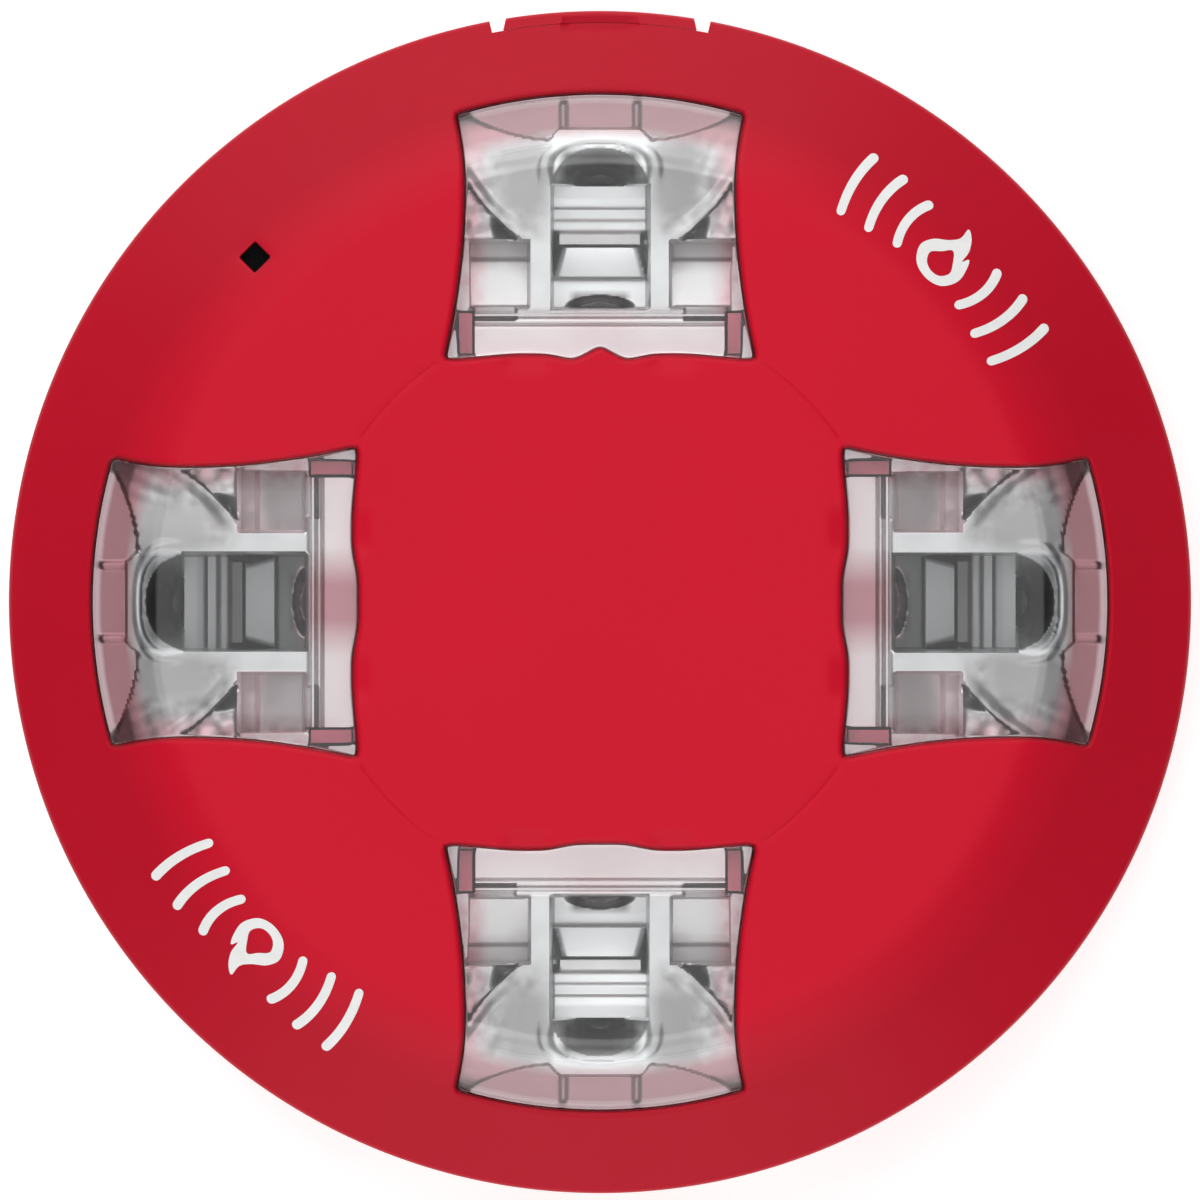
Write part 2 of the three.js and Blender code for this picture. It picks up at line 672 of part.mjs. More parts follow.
add('mounting_plate', mountingPlate(), FINISHES.ivoryPlastic);
add('plate_rim', plateRim(), FINISHES.ivoryPlastic);
add('terminal_block', terminalBlock(), FINISHES.blackPlastic);
addEach('terminal_screw', TERMINAL_X, terminalScrew, FINISHES.steel);
addEach('terminal_clamp', TERMINAL_X, terminalClamp, FINISHES.brass);

add('front_cover', frontCover(), FINISHES.redCover);
add('front_skirt', frontSkirt(), FINISHES.redCover);
add('rear_cover', rearCover(), FINISHES.blackPlastic);
add('rear_wall', rearWall(), FINISHES.blackPlastic);
addEach('cover_screw', postPositions(), coverScrew, FINISHES.steel);
add('main_board', mainBoard(), FINISHES.board);
addEach('lens', WINDOWS_FROM_TOP, lens, FINISHES.clear);
addEach('reflector', WINDOWS_FROM_TOP, reflector, FINISHES.mirror);
addEach('led', WINDOWS_FROM_TOP, led, FINISHES.phosphor);
add('horn_chamber', hornChamber(), FINISHES.blackPlastic);
add('piezo_disc', piezoDisc(), FINISHES.brass);
add('horn_gasket', hornGasket(), FINISHES.rubber);
addEach('capacitor', [-13, 13], capacitor, FINISHES.sleeve);
add('inductor', inductor(), FINISHES.ceramic);
add('transformer', transformer(), FINISHES.ceramic);
add('microcontroller', microcontroller(), FINISHES.blackPlastic);
addEach('contact_blade', TERMINAL_X, contactBlade, FINISHES.brass);
add('candela_switch', candelaSwitch(), FINISHES.blackPlastic);
add('tone_switch', toneSwitch(), FINISHES.blackPlastic);

add('candela_knob', candelaKnob(), FINISHES.whitePlastic);
add('tone_dial', toneDial(), FINISHES.whitePlastic);
add('release_latch', releaseLatch(), FINISHES.redCover);

export default device;
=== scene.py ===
import math

import bmesh
import bpy
import numpy as np
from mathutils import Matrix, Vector
from mathutils.geometry import delaunay_2d_cdt


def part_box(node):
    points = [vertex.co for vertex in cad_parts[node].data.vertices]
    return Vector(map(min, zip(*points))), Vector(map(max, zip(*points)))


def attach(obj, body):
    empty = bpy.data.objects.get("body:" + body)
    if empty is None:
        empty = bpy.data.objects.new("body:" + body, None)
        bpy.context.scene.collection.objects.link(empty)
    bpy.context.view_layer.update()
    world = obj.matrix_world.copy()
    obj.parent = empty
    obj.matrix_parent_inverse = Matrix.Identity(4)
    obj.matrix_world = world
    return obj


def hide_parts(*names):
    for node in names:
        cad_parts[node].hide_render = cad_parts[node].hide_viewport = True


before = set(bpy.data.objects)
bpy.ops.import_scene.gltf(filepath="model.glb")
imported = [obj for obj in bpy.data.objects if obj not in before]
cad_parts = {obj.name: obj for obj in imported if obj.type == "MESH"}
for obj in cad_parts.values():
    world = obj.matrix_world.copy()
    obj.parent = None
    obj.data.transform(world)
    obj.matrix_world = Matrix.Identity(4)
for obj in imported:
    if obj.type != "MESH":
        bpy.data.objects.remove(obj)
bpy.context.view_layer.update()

MM = 0.001


def box_mm(node):
    """A CAD node's lowest and highest corners in millimetres."""
    low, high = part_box(node)
    return np.array(low) / MM, np.array(high) / MM


def square(half):
    """The corners of a square round the origin."""
    return np.array([[-half, -half], [half, -half], [half, half], [-half, half]])


# ---- driving dimensions, in mm

COVER_TOP = box_mm("front_cover")[1][2]
SKIRT_LOW, SKIRT_HIGH = box_mm("front_skirt")
SKIRT_R = SKIRT_HIGH[0]
SKIRT_BOTTOM = SKIRT_LOW[2]

FLAT_R = 41.5
RIDGE_R = 65.2
INNER_SLOPE = math.radians(4.34)
OUTER_SLOPE = math.radians(32)
RIM_R = 84.3  # the cap ends and the skirt begins here, at the skirt's inner wall
RIM_FILLET = 1.5
SKIRT_TOP_R = SKIRT_R - 0.4
CAP_WALL = 2.3
SEAM_R = 41.9
SEAM_DEPTH = 0.16
SEAM_HALF = 0.18
SCOOP_DEPTH = 1.0
THUMB_Y = (82.7, 85.1)
THUMB_HALF = 5.6
THUMB_DEPTH = 0.8
RELIEF_X = 33
RELIEF_TOP = 6

SLIT_OUTER_X = 15.7
TAB_X = 14.1
TAB_CLEAR = 0.06
ARM_HALF = 7.0
SLIT_TAPER = 0.5  # each side of a slit opens by this much from the rim's inner to its outer wall

WINDOW_TURNS = {1: 90, 2: 180, 3: 270, 4: 0}  # degrees from +X to each window's middle
WINDOW_OUTER_R = 73.8
WINDOW_WAIST = (60.0, 19.5)  # (u, v) where the opening is narrowest
WINDOW_OUTER_V = 20.9
WINDOW_CORNER_U = math.sqrt(WINDOW_OUTER_R ** 2 - WINDOW_OUTER_V ** 2)
WINDOW_INNER = (35.2, 22.4)  # (u, v) of the inner corners
WINDOW_DIP_U = 35.95
WINDOW_SWELL_U = 35.05
POINTER_HEIGHT = 2.1
POINTER_HALF_WIDTH = 3.9

PORT_R = 70.7
PORT_DEGREES = 135
PORT_SIDE = 3.2
PORT_EDGE = 0.3

WINDOW_EDGE = 1.0  # the rounded edge of each window reaches this far out
WINDOW_EDGE_DEPTH = 1.8
CLEAR_OF_EDGES = 1.35  # loose points of the cap keep this far from the openings

MARK_ANGLES = (45, 225)
MARK_R = 71.1

CAMERA_HEIGHT = 2.05  # in metres
RIM_Z = 27
FIELD_MM = 174.7  # the width seen in the plane of the rim
FRAME_OFFSET_MM = 0.3  # the device sits this far below the middle of the frame

FLOOR_HALF = 3.0  # in metres
FLOOR_Z = -0.0002


# ---- camera, floor and light


def add_object(name, data):
    thing = bpy.data.objects.new(name, data)
    bpy.context.scene.collection.objects.link(thing)
    return thing


def make_camera():
    camera = bpy.data.cameras.new("camera")
    camera.sensor_width = 36
    camera.lens = camera.sensor_width * (CAMERA_HEIGHT - RIM_Z * MM) / (FIELD_MM * MM)
    camera.clip_end = 20
    holder = add_object("camera", camera)
    holder.location = (0, FRAME_OFFSET_MM * MM, CAMERA_HEIGHT)
    bpy.context.scene.camera = holder


SOFTBOXES = {  # place and size in metres, and radiance, where 1 reflects as full white
    "overhead": ((0, 0, 2.6), (2.7, 2.7), 0.82),
    "upper": ((-0.25, 1.1, 1.55), (2.4, 1.15), 1.55),
    "lower": ((-0.05, -1.1, 1.55), (2.2, 1.15), 1.15),
    "low_upper": ((-0.25, 1.5, 0.62), (2.4, 0.8), 2.1),
    "low_lower": ((-0.1, -1.5, 0.62), (2.2, 0.8), 1.8),
}


def make_softbox(name, place, size, radiance):
    """A rectangular light that faces the device."""
    light = bpy.data.lights.new(name, "AREA")
    light.shape = "RECTANGLE"
    light.size, light.size_y = size
    light.energy = radiance * math.pi * size[0] * size[1]
    holder = add_object(name, light)
    holder.location = place
    aim = Vector((0, 0, 0.03)) - Vector(place)
    holder.rotation_euler = aim.to_track_quat("-Z", "Y").to_euler()


def make_studio():
    scene = bpy.context.scene
    scene.view_settings.view_transform = "Standard"
    world = bpy.data.worlds.new("studio")
    world.use_nodes = True
    background = world.node_tree.nodes["Background"]
    background.inputs["Color"].default_value = (1, 1, 1, 1)
    background.inputs["Strength"].default_value = 0.12
    scene.world = world
    for name, box in SOFTBOXES.items():
        make_softbox(name, *box)


def make_floor():
    mesh = bpy.data.meshes.new("floor")
    mesh.from_pydata([(x, y, FLOOR_Z) for x, y in square(FLOOR_HALF)], [], [(0, 1, 2, 3)])
    material = bpy.data.materials.new("floor_white")
    material.use_nodes = True
    shader = material.node_tree.nodes["Principled BSDF"]
    shader.inputs["Base Color"].default_value = (0.92, 0.92, 0.92, 1)
    shader.inputs["Roughness"].default_value = 0.9
    shader.inputs["Emission Color"].default_value = (1, 1, 1, 1)
    shader.inputs["Emission Strength"].default_value = 0.45
    mesh.materials.append(material)
    add_object("floor", mesh)


# ---- node materials


class Look:
    """A Principled material with a few procedural layers over it."""

    def __init__(self, name, color, roughness, metallic=0.0):
        self.material = bpy.data.materials.new(name)
        self.material.use_nodes = True
        self.tree = self.material.node_tree
        self.link = self.tree.links.new
        self.shader = self.tree.nodes["Principled BSDF"]
        self.set("Base Color", (*color, 1)).set("Roughness", roughness).set("Metallic", metallic)
        self.color = color
        self.roughness = roughness
        self.place = self.add("ShaderNodeTexCoord").outputs["Object"]

    def set(self, socket, value):
        self.shader.inputs[socket].default_value = value
        return self

    def add(self, kind, inputs=()):
        """A new node with some of its inputs set, given as (socket, value) pairs."""
        node = self.tree.nodes.new(kind)
        for socket, value in inputs:
            node.inputs[socket].default_value = value
        return node

    def noise(self, scale, detail):
        node = self.add("ShaderNodeTexNoise", [("Scale", scale), ("Detail", detail)])
        self.link(self.place, node.inputs["Vector"])
        return node.outputs["Fac"]

    def spread(self, source, low, high, from_low=0.3, from_high=0.7):
        node = self.add("ShaderNodeMapRange", [("From Min", from_low), ("From Max", from_high),
                                               ("To Min", low), ("To Max", high)])
        self.link(source, node.inputs["Value"])
        return node.outputs["Result"]

    def vary_color(self, scale, amount):
        """Lightens and darkens the colour by amount, in patches of about 1 / scale metres."""
        dark = [c * (1 - amount) for c in self.color]
        light = [min(1, c * (1 + amount)) for c in self.color]
        mix = self.add("ShaderNodeMix")
        mix.data_type = "RGBA"
        mix.inputs[6].default_value = (*dark, 1)
        mix.inputs[7].default_value = (*light, 1)
        share = self.spread(self.noise(scale, 3), 0, 1)
        self.link(share, mix.inputs[0])
        self.link(mix.outputs[2], self.shader.inputs["Base Color"])
        return self

    def radius(self):
        """The distance from the device's axis."""
        flat = self.add("ShaderNodeVectorMath")
        flat.operation = "MULTIPLY"
        flat.inputs[1].default_value = (1, 1, 0)
        self.link(self.place, flat.inputs[0])
        length = self.add("ShaderNodeVectorMath")
        length.operation = "LENGTH"
        self.link(flat.outputs[0], length.inputs[0])
        return length.outputs["Value"]

    def math(self, operation, a, b):
        node = self.add("ShaderNodeMath")
        node.operation = operation
        self.link(a, node.inputs[0])
        self.link(b, node.inputs[1])
        return node.outputs["Value"]

    def window_axes(self):
        """Distances along and across the nearer of the x and y axes, on which the windows lie."""
        size = self.add("ShaderNodeVectorMath")
        size.operation = "ABSOLUTE"
        self.link(self.place, size.inputs[0])
        parts = self.add("ShaderNodeSeparateXYZ")
        self.link(size.outputs[0], parts.inputs[0])
        x, y = parts.outputs["X"], parts.outputs["Y"]
        return self.math("MAXIMUM", x, y), self.math("MINIMUM", x, y)

    def zone(self, u, v, u_span, v_span, soft):
        """1 inside a rectangle of the window axes, in metres, and 0 outside it."""
        result = None
        for axis, (low, high) in ((u, u_span), (v, v_span)):
            rise = self.spread(axis, 0, 1, low - soft, low)
            fall = self.spread(axis, 1, 0, high, high + soft)
            side = self.math("MULTIPLY", rise, fall)
            result = side if result is None else self.math("MULTIPLY", result, side)
        return result

    def multiply(self, factor):
        """Multiplies the colour by a factor."""
        scale = self.add("ShaderNodeVectorMath")
        scale.operation = "SCALE"
        base = self.shader.inputs["Base Color"]
        self.link(base.links[0].from_socket, scale.inputs[0])
        self.link(factor, scale.inputs["Scale"])
        self.link(scale.outputs[0], base)
        return self

    def paint_shade_outwards(self, start, end, share):
        """Paints shade: darkens the colour to share beyond a radius of end, fading in from start.
        """
        return self.multiply(self.spread(self.radius(), 1, share, start, end))

    def paint_shade_on_steep_faces(self, share, reach):
        """Paints shade: darkens faces that turn away from +Z to share, within a radius of reach."""
        parts = self.add("ShaderNodeSeparateXYZ")
        normal = self.add("ShaderNodeTexCoord").outputs["Normal"]
        self.link(normal, parts.inputs[0])
        steep = self.spread(parts.outputs["Z"], share, 1, 0.3, 0.83)
        beyond = self.spread(self.radius(), 0, 1, reach, reach + 0.0005)
        return self.multiply(self.math("MAXIMUM", steep, beyond))

    def paint_reflection_and_shade(self, share, color):
        """Paints a tint where share is 1; the tints stand for reflections and shade."""
        mix = self.add("ShaderNodeMix")
        mix.data_type = "RGBA"
        mix.inputs[7].default_value = (*color, 1)
        base = self.shader.inputs["Base Color"]
        self.link(share, mix.inputs[0])
        self.link(base.links[0].from_socket, mix.inputs[6])
        self.link(mix.outputs[2], base)
        return self

    def vary_roughness(self, scale, amount):
        share = self.spread(self.noise(scale, 4), self.roughness - amount, self.roughness + amount)
        self.link(share, self.shader.inputs["Roughness"])
        return self

    def grain(self, scale, height_mm):
        """A moulded or blasted texture, as a bump of about height_mm."""
        bump = self.add("ShaderNodeBump", [("Strength", 1), ("Distance", height_mm * MM)])
        self.link(self.noise(scale, 2), bump.inputs["Height"])
        self.link(bump.outputs["Normal"], self.shader.inputs["Normal"])
        return self


def red_plastic():
    look = Look("red_plastic", (0.63, 0.005, 0.0245), 0.42)
    look.set("Specular IOR Level", 0.13)
    look.vary_color(18, 0.02).vary_roughness(60, 0.03).grain(2600, 0.012)
    # painted shade: the outer cone is darkened towards the rim, beyond what the lamps give it
    look.paint_shade_outwards(0.063, 0.074, 0.76)
    # painted shade: steep faces round the windows are darkened as though shadowed in the openings
    return look.paint_shade_on_steep_faces(0.36, 0.0758).material


def mark_ink():
    look = Look("white_ink", (0.86, 0.86, 0.85), 0.5)
    return look.vary_color(400, 0.03).grain(3000, 0.01).material


def clear_plastic():
    """Glassy, but shadows pass straight through, so that the reflectors behind it stay lit."""
    look = Look("clear_plastic", (0.975, 0.985, 0.985), 0.03)
    look.set("IOR", 1.49).set("Transmission Weight", 1.0)
    look.vary_roughness(90, 0.015)
    through = look.add("ShaderNodeBsdfTransparent", [("Color", (0.93, 0.94, 0.94, 1))])
    rays = look.add("ShaderNodeLightPath")
    mix = look.add("ShaderNodeMixShader")
    output = look.tree.nodes["Material Output"]
    look.link(rays.outputs["Is Shadow Ray"], mix.inputs[0])
    look.link(look.shader.outputs["BSDF"], mix.inputs[1])
    look.link(through.outputs["BSDF"], mix.inputs[2])
    look.link(mix.outputs["Shader"], output.inputs["Surface"])
    return look.material


# Where the reflectors' painted reflections and painted shade lie, in metres: spans outwards and
# across, and softness.
PAINTED_LIGHT_ZONES = {
    "trough": ((0.0430, 0.0661), (0, 0.0066), 0.0006),
    "crescent": ((0.0430, 0.0443), (0, 0.0035), 0.0012),
    "pit": ((0.0616, 0.0646), (0, 0.0048), 0.0014),
    "shelves": ((0.0430, 0.0526), (0.0103, 0.0186), 0.0006),
    "wings": ((0.0545, 0.070), (0.0095, 0.03), 0.003),
    "wing_roots": ((0.058, 0.065), (0.0092, 0.0125), 0.003),
    "sides": ((0.030, 0.080), (0.0185, 0.03), 0.0025),
    "middle": ((0.030, 0.0398), (0, 0.0025), 0.0055),
}


def metallised_plastic(name, trough, shelf, middle):
    """Bright metal with painted reflections: dark tints painted in as shade for its own dark pits,
    pink ones for the red cover round it.
    """
    look = Look(name, (0.6, 0.6, 0.605), 0.37, 1.0)
    look.vary_color(160, 0.08).vary_roughness(150, 0.05)
    u, v = look.window_axes()
    zones = {place: look.zone(u, v, *zone) for place, zone in PAINTED_LIGHT_ZONES.items()}
    mottle = look.spread(look.noise(420, 3), 0.5, 1, 0.38, 0.64)
    radius = look.radius()
    # Every tint here is painted light: the dark ones are painted shade and dark reflections, the
    # grey and pink ones painted reflections of the surroundings and of the red cover.
    tints = [
        (zones["trough"], trough),
        (zones["crescent"], (0.12, 0.12, 0.12)),
        (zones["pit"], (0.13, 0.13, 0.13)),
        (zones["shelves"], shelf),
        (look.math("MULTIPLY", zones["wings"], mottle), (0.3, 0.282, 0.287)),
        (zones["wing_roots"], (0.33, 0.32, 0.325)),
        (look.math("MULTIPLY", zones["sides"], mottle), (0.5, 0.3, 0.33)),
        (look.spread(u, 1, 0, 0.037, 0.044), (0.66, 0.55, 0.565)),  # the inner strip
        (look.spread(radius, 0, 1, 0.0668, 0.069), (0.34, 0.17, 0.19)),  # the outer border
        (zones["middle"], middle),
        (look.spread(radius, 0, 1, 0.0721, 0.0727), (0.62, 0.47, 0.49)),  # the border's edge
    ]
    for share, color in tints:
        look.paint_reflection_and_shade(share, color)
    return look.material


def plain_plastic(name, color, roughness, grain_mm=0.02):
    look = Look(name, color, roughness)
    return look.vary_color(30, 0.06).vary_roughness(80, 0.05).grain(2200, grain_mm).material


def metal(name, color, roughness):
    look = Look(name, color, roughness, 1.0)
    return look.vary_color(300, 0.08).vary_roughness(500, 0.08).grain(1500, 0.006).material


# ---- mesh tools


def make_piece(name, verts_mm, faces, material, body, nodes, sharp_degrees=32):
    """A mesh piece that rides on a body and stands for CAD nodes."""
    mesh = bpy.data.meshes.new(name)
    scaled = np.asarray(verts_mm, float) * MM
    mesh.from_pydata([tuple(v) for v in scaled], [], [tuple(int(i) for i in f) for f in faces])
    mesh.validate()
    work = bmesh.new()
    work.from_mesh(mesh)
    bmesh.ops.remove_doubles(work, verts=work.verts, dist=1e-7)
    bmesh.ops.recalc_face_normals(work, faces=work.faces)
    work.to_mesh(mesh)
    work.free()
    mesh.shade_smooth()
    mesh.set_sharp_from_angle(angle=math.radians(sharp_degrees))
    mesh.materials.append(material)
    piece = add_object(name, mesh)
    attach(piece, body)
    if nodes:
        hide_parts(*nodes)


def slab(flat, triangles, top, bottom, walls):
    """Vertices and faces of a flat sheet given two heights, closed along the loops in walls."""
    count = len(flat)
    verts = [*np.column_stack([flat, top]), *np.column_stack([flat, bottom])]
    faces = [tuple(t) for t in triangles] + [tuple(t[::-1] + count) for t in triangles]
    for loop in walls:
        faces += [(a, b, b + count, a + count) for a, b in zip(loop, loop[1:] + loop[:1])]
    return verts, faces


def tube_faces(rings, size, start=0):
    """The sides and both ends of a closed tube whose rings of size points follow one another."""
    faces = [tuple(range(start, start + size))]
    for ring in range(start, start + (rings - 1) * size, size):
        for i in range(size):
            j = (i + 1) % size
            faces.append((ring + i, ring + j, ring + size + j, ring + size + i))
    faces.append(tuple(range(start + (rings - 1) * size, start + rings * size)))
    return faces


def inside(points, polygon):
    """Whether each 2-D point is inside a closed polygon."""
    x, y = points[:, 0], points[:, 1]
    result = np.zeros(len(points), bool)
    ends = np.roll(polygon, -1, axis=0)
    for (x0, y0), (x1, y1) in zip(polygon, ends):
        if y0 == y1:
            continue
        crosses = (y0 > y) != (y1 > y)
        at = (x1 - x0) * (y - y0) / (y1 - y0) + x0
        result ^= crosses & (x < at)
    return result


def distance_to(points, line):
    """Each 2-D point's distance to the nearest of a line's points."""
    best = np.full(len(points), 1e9)
    for start in range(0, len(line), 64):
        part = line[start:start + 64]
        gaps = points[:, None, :] - part[None, :, :]
        best = np.minimum(best, np.sqrt((gaps ** 2).sum(2)).min(1))
    return best


def resampled(polygon, spacing):
    """A closed polygon with points at an even spacing."""
    closed = np.vstack([polygon, polygon[:1]])
    lengths = np.hypot(*np.diff(closed, axis=0).T)
    along = np.concatenate([[0], np.cumsum(lengths)])
    count = max(8, int(round(along[-1] / spacing)))
    places = np.linspace(0, along[-1], count, endpoint=False)
    return np.column_stack([np.interp(places, along, closed[:, i]) for i in (0, 1)])


def softened(polygon, passes):
    """A closed polygon with its corners rounded by averaging neighbours."""
    for _ in range(passes):
        before, after = np.roll(polygon, 1, axis=0), np.roll(polygon, -1, axis=0)
        polygon = polygon / 2 + (before + after) / 4
    return polygon


def offset(polygon, distance):
    """A closed anticlockwise polygon moved outwards by a distance."""
    along = np.roll(polygon, -1, axis=0) - np.roll(polygon, 1, axis=0)
    normal = np.column_stack([along[:, 1], -along[:, 0]])
    normal /= np.linalg.norm(normal, axis=1)[:, None]
    moved = polygon + distance * normal
    return moved[distance_to(moved, polygon) > abs(distance) - 0.004]


def turned(points, degrees):
    """2-D or 3-D points turned about the device's axis."""
    angle = math.radians(degrees)
    c, s = math.cos(angle), math.sin(angle)
    x, y, *z = np.asarray(points).T
    return np.column_stack([x * c - y * s, x * s + y * c, *z])


def at_port(points):
    """Points round the origin moved to the sound port."""
    return turned(points + [PORT_R, 0.0], PORT_DEGREES)


def triangulate(points, edges):
    """Triangles of 2-D points that keep the given edges."""
    coords = [Vector((float(x), float(y))) for x, y in points]
    verts, _, faces, origins, _, _ = delaunay_2d_cdt(coords, edges, [], 0, 1e-6)
    if len(verts) != len(points):
        raise ValueError("an outline crosses itself or another one")
    order = [origin[0] for origin in origins]
    return np.array([[order[i] for i in face] for face in faces])


class Sheet:
    """2-D points gathered as loops, lines and loose fill, then triangulated between outlines."""

    def __init__(self):
        self.points = np.zeros((0, 2))
        self.edges = []

    def add_loop(self, points):
        loop = self.add_line(points)
        self.edges.append((loop[-1], loop[0]))
        return loop

    def add_line(self, points):
        start = len(self.points)
        self.points = np.vstack([self.points, points])
        line = list(range(start, len(self.points)))
        self.edges += zip(line, line[1:])
        return line

    def add_fill(self, points):
        self.points = np.vstack([self.points, points])

    def triangles(self, outer, holes):
        faces = triangulate(self.points, self.edges)
        middles = self.points[faces].mean(axis=1)
        keep = inside(middles, self.points[outer])
        for hole in holes:
            keep &= ~inside(middles, self.points[hole])
        return faces[keep]


# ---- the cap's surface


def ramp(x, width):
    """0 below -width and x above width, with a parabola between them."""
    return np.where(x <= -width, 0.0, np.where(x >= width, x, (x + width) ** 2 / (4 * width)))


def smooth(x):
    x = np.clip(x, 0, 1)
    return x * x * (3 - 2 * x)


def dome_height(r):
    """The cap's plain form: flat in the middle, then two cones with soft joins."""
    inner = math.tan(INNER_SLOPE)
    outer = math.tan(OUTER_SLOPE)
    return COVER_TOP - inner * ramp(r - FLAT_R, 6) - (outer - inner) * ramp(r - RIDGE_R, 2.2)


def cap_height(points):
    """The cap's outer face with its fine features, at 2-D points."""
    x, y = points[:, 0], points[:, 1]
    r = np.hypot(x, y)
    z = dome_height(r)
    z = z - SEAM_DEPTH * np.exp(-(((r - SEAM_R) / SEAM_HALF) ** 2))
    for degrees in WINDOW_TURNS.values():
        u, v = turned(points, -degrees).T
        scoop = smooth((u - 32.2) / 3.8) * np.exp(-(((np.abs(v) - 10.6) / 3.4) ** 4))
        z = z - SCOOP_DEPTH * scoop * (u < 40)
    thumb = smooth((y - THUMB_Y[0]) / 0.5) * smooth((THUMB_Y[1] - y) / 0.35)
    return z - THUMB_DEPTH * thumb * smooth((THUMB_HALF - np.abs(x)) / 0.6)


# ---- window outlines


def window_half_width(u):
    """Half the opening's width: narrowest at the waist and wider towards both ends."""
    waist_u, waist_v = WINDOW_WAIST
    inner_u, inner_v = WINDOW_INNER
    outwards = np.clip((u - waist_u) / (WINDOW_CORNER_U - waist_u), 0, 2)
    inwards = np.clip((waist_u - u) / (waist_u - inner_u), 0, 2)
    return waist_v + (WINDOW_OUTER_V - waist_v) * outwards ** 2 + (inner_v - waist_v) * inwards ** 2


def window_inner_edge(v):
    """The inner edge: nearly straight, with a dip on each side of a central swell."""
    a = np.abs(v)
    line = WINDOW_INNER[0] + (WINDOW_DIP_U - WINDOW_INNER[0]) * smooth((WINDOW_INNER[1] - a) / 11.5)
    return line + (WINDOW_SWELL_U - WINDOW_DIP_U) * smooth((9.0 - a) / 6.5)


def window_outline(shrink=0.0, pointer=False):
    """The opening's outline, anticlockwise, in its own (u, v) frame."""
    side_u = np.linspace(WINDOW_INNER[0], WINDOW_CORNER_U, 40)
    side = np.column_stack([side_u, window_half_width(side_u)])
    half_angle = math.asin(WINDOW_OUTER_V / WINDOW_OUTER_R)
    angles = np.linspace(-half_angle, half_angle, 60)[1:-1]
    arc = WINDOW_OUTER_R * np.column_stack([np.cos(angles), np.sin(angles)])
    v = np.linspace(WINDOW_INNER[1], -WINDOW_INNER[1], 120)[1:-1]
    edge = window_inner_edge(v)
    if pointer:
        edge = edge + POINTER_HEIGHT * np.clip(1 - np.abs(v) / POINTER_HALF_WIDTH, 0, 1)
    inner = np.column_stack([edge, v])
    lower = side * [1, -1]
    outline = np.vstack([lower, arc, side[::-1], inner])
    outline = softened(resampled(outline, 0.3), 6)
    outline = resampled(outline, 0.55)
    return offset(outline, -shrink) if shrink else outline


def port_outline():
    return at_port(softened(resampled(square(PORT_SIDE / 2), 0.2), 2))


# ---- front cover


def rim_profile():
    """(r, z) points of the rim and skirt, from the cap's outer edge round to its underside."""
    tilt = math.pi / 2 - OUTER_SLOPE
    centre_r = SKIRT_TOP_R - RIM_FILLET
    centre_z = float(dome_height(np.array(centre_r))) - RIM_FILLET / math.cos(OUTER_SLOPE)
    arc = [(centre_r + RIM_FILLET * math.cos(a), centre_z + RIM_FILLET * math.sin(a))
           for a in np.linspace(tilt, 0, 9)]
    outer = [(SKIRT_R, 10), (SKIRT_R, RELIEF_TOP), (SKIRT_R, SKIRT_BOTTOM + 0.5),
             (SKIRT_R - 0.4, SKIRT_BOTTOM)]
    inner = [(RIM_R + 0.3, SKIRT_BOTTOM), (RIM_R, SKIRT_BOTTOM + 0.4), (RIM_R, RELIEF_TOP),
             (RIM_R, 15)]
    edge_z = float(dome_height(np.array(RIM_R)))
    return [(RIM_R, edge_z), *arc, *outer, *inner, (RIM_R, edge_z - CAP_WALL)]


def column_angles():
    """Angles from +Y round the rim, with a column at each slit side and relief end."""
    plain = np.radians(np.arange(0, 360, 1.0))
    slit = math.asin(SLIT_OUTER_X / RIM_R)
    relief = math.pi - math.asin(RELIEF_X / RIM_R)
    special = [slit, relief, 2 * math.pi - relief, 2 * math.pi - slit]
    apart = [a for a in plain if min(abs(a - s) for s in special) > math.radians(0.35)]
    return np.array(sorted(apart + special)), slit, relief


def slit_x(r):
    return SLIT_OUTER_X + SLIT_TAPER * (r - RIM_R) / (SKIRT_R - RIM_R)


def column_points(angle, slit, profile):
    """The rim profile's points at one angle, measured clockwise from +Y."""
    points = []
    for r, z in profile:
        a = angle
        if abs(angle - slit) < 1e-9:
            a = math.asin(slit_x(r) / r)
        if abs(angle - (2 * math.pi - slit)) < 1e-9:
            a = 2 * math.pi - math.asin(slit_x(r) / r)
        points.append((r * math.sin(a), r * math.cos(a), z))
    return points


def add_opening(sheet, outline, steps, fall, degrees=0):
    """Loops round an opening at steps outwards; returns its edge and how far each point falls."""
    drops = {}
    for step in steps:
        loop = sheet.add_loop(turned(offset(outline, step), degrees))
        drops.update({i: fall(step) for i in loop})
        if step == 0:
            edge = loop
    return edge, drops


def window_edge_fall(step):
    """How far the rounded edge of a window has dropped at a distance from the opening."""
    return WINDOW_EDGE_DEPTH * (1 - math.sqrt(1 - max(0.0, 1 - step / WINDOW_EDGE) ** 2))


def port_edge_fall(step):
    return PORT_EDGE - math.sqrt(max(0.0, PORT_EDGE ** 2 - (PORT_EDGE - step) ** 2))


def add_openings(sheet):
    holes, drops = [], {}
    for number, degrees in WINDOW_TURNS.items():
        steps = (0.0, 0.1, 0.24, 0.42, 0.68, WINDOW_EDGE, 1.22)
        hole, fallen = add_opening(sheet, window_outline(pointer=number == 1), steps,
                                   window_edge_fall, degrees)
        holes.append(hole)
        drops.update(fallen)
    hole, fallen = add_opening(sheet, port_outline(), (0.0, 0.12, PORT_EDGE), port_edge_fall)
    return [*holes, hole], {**drops, **fallen}


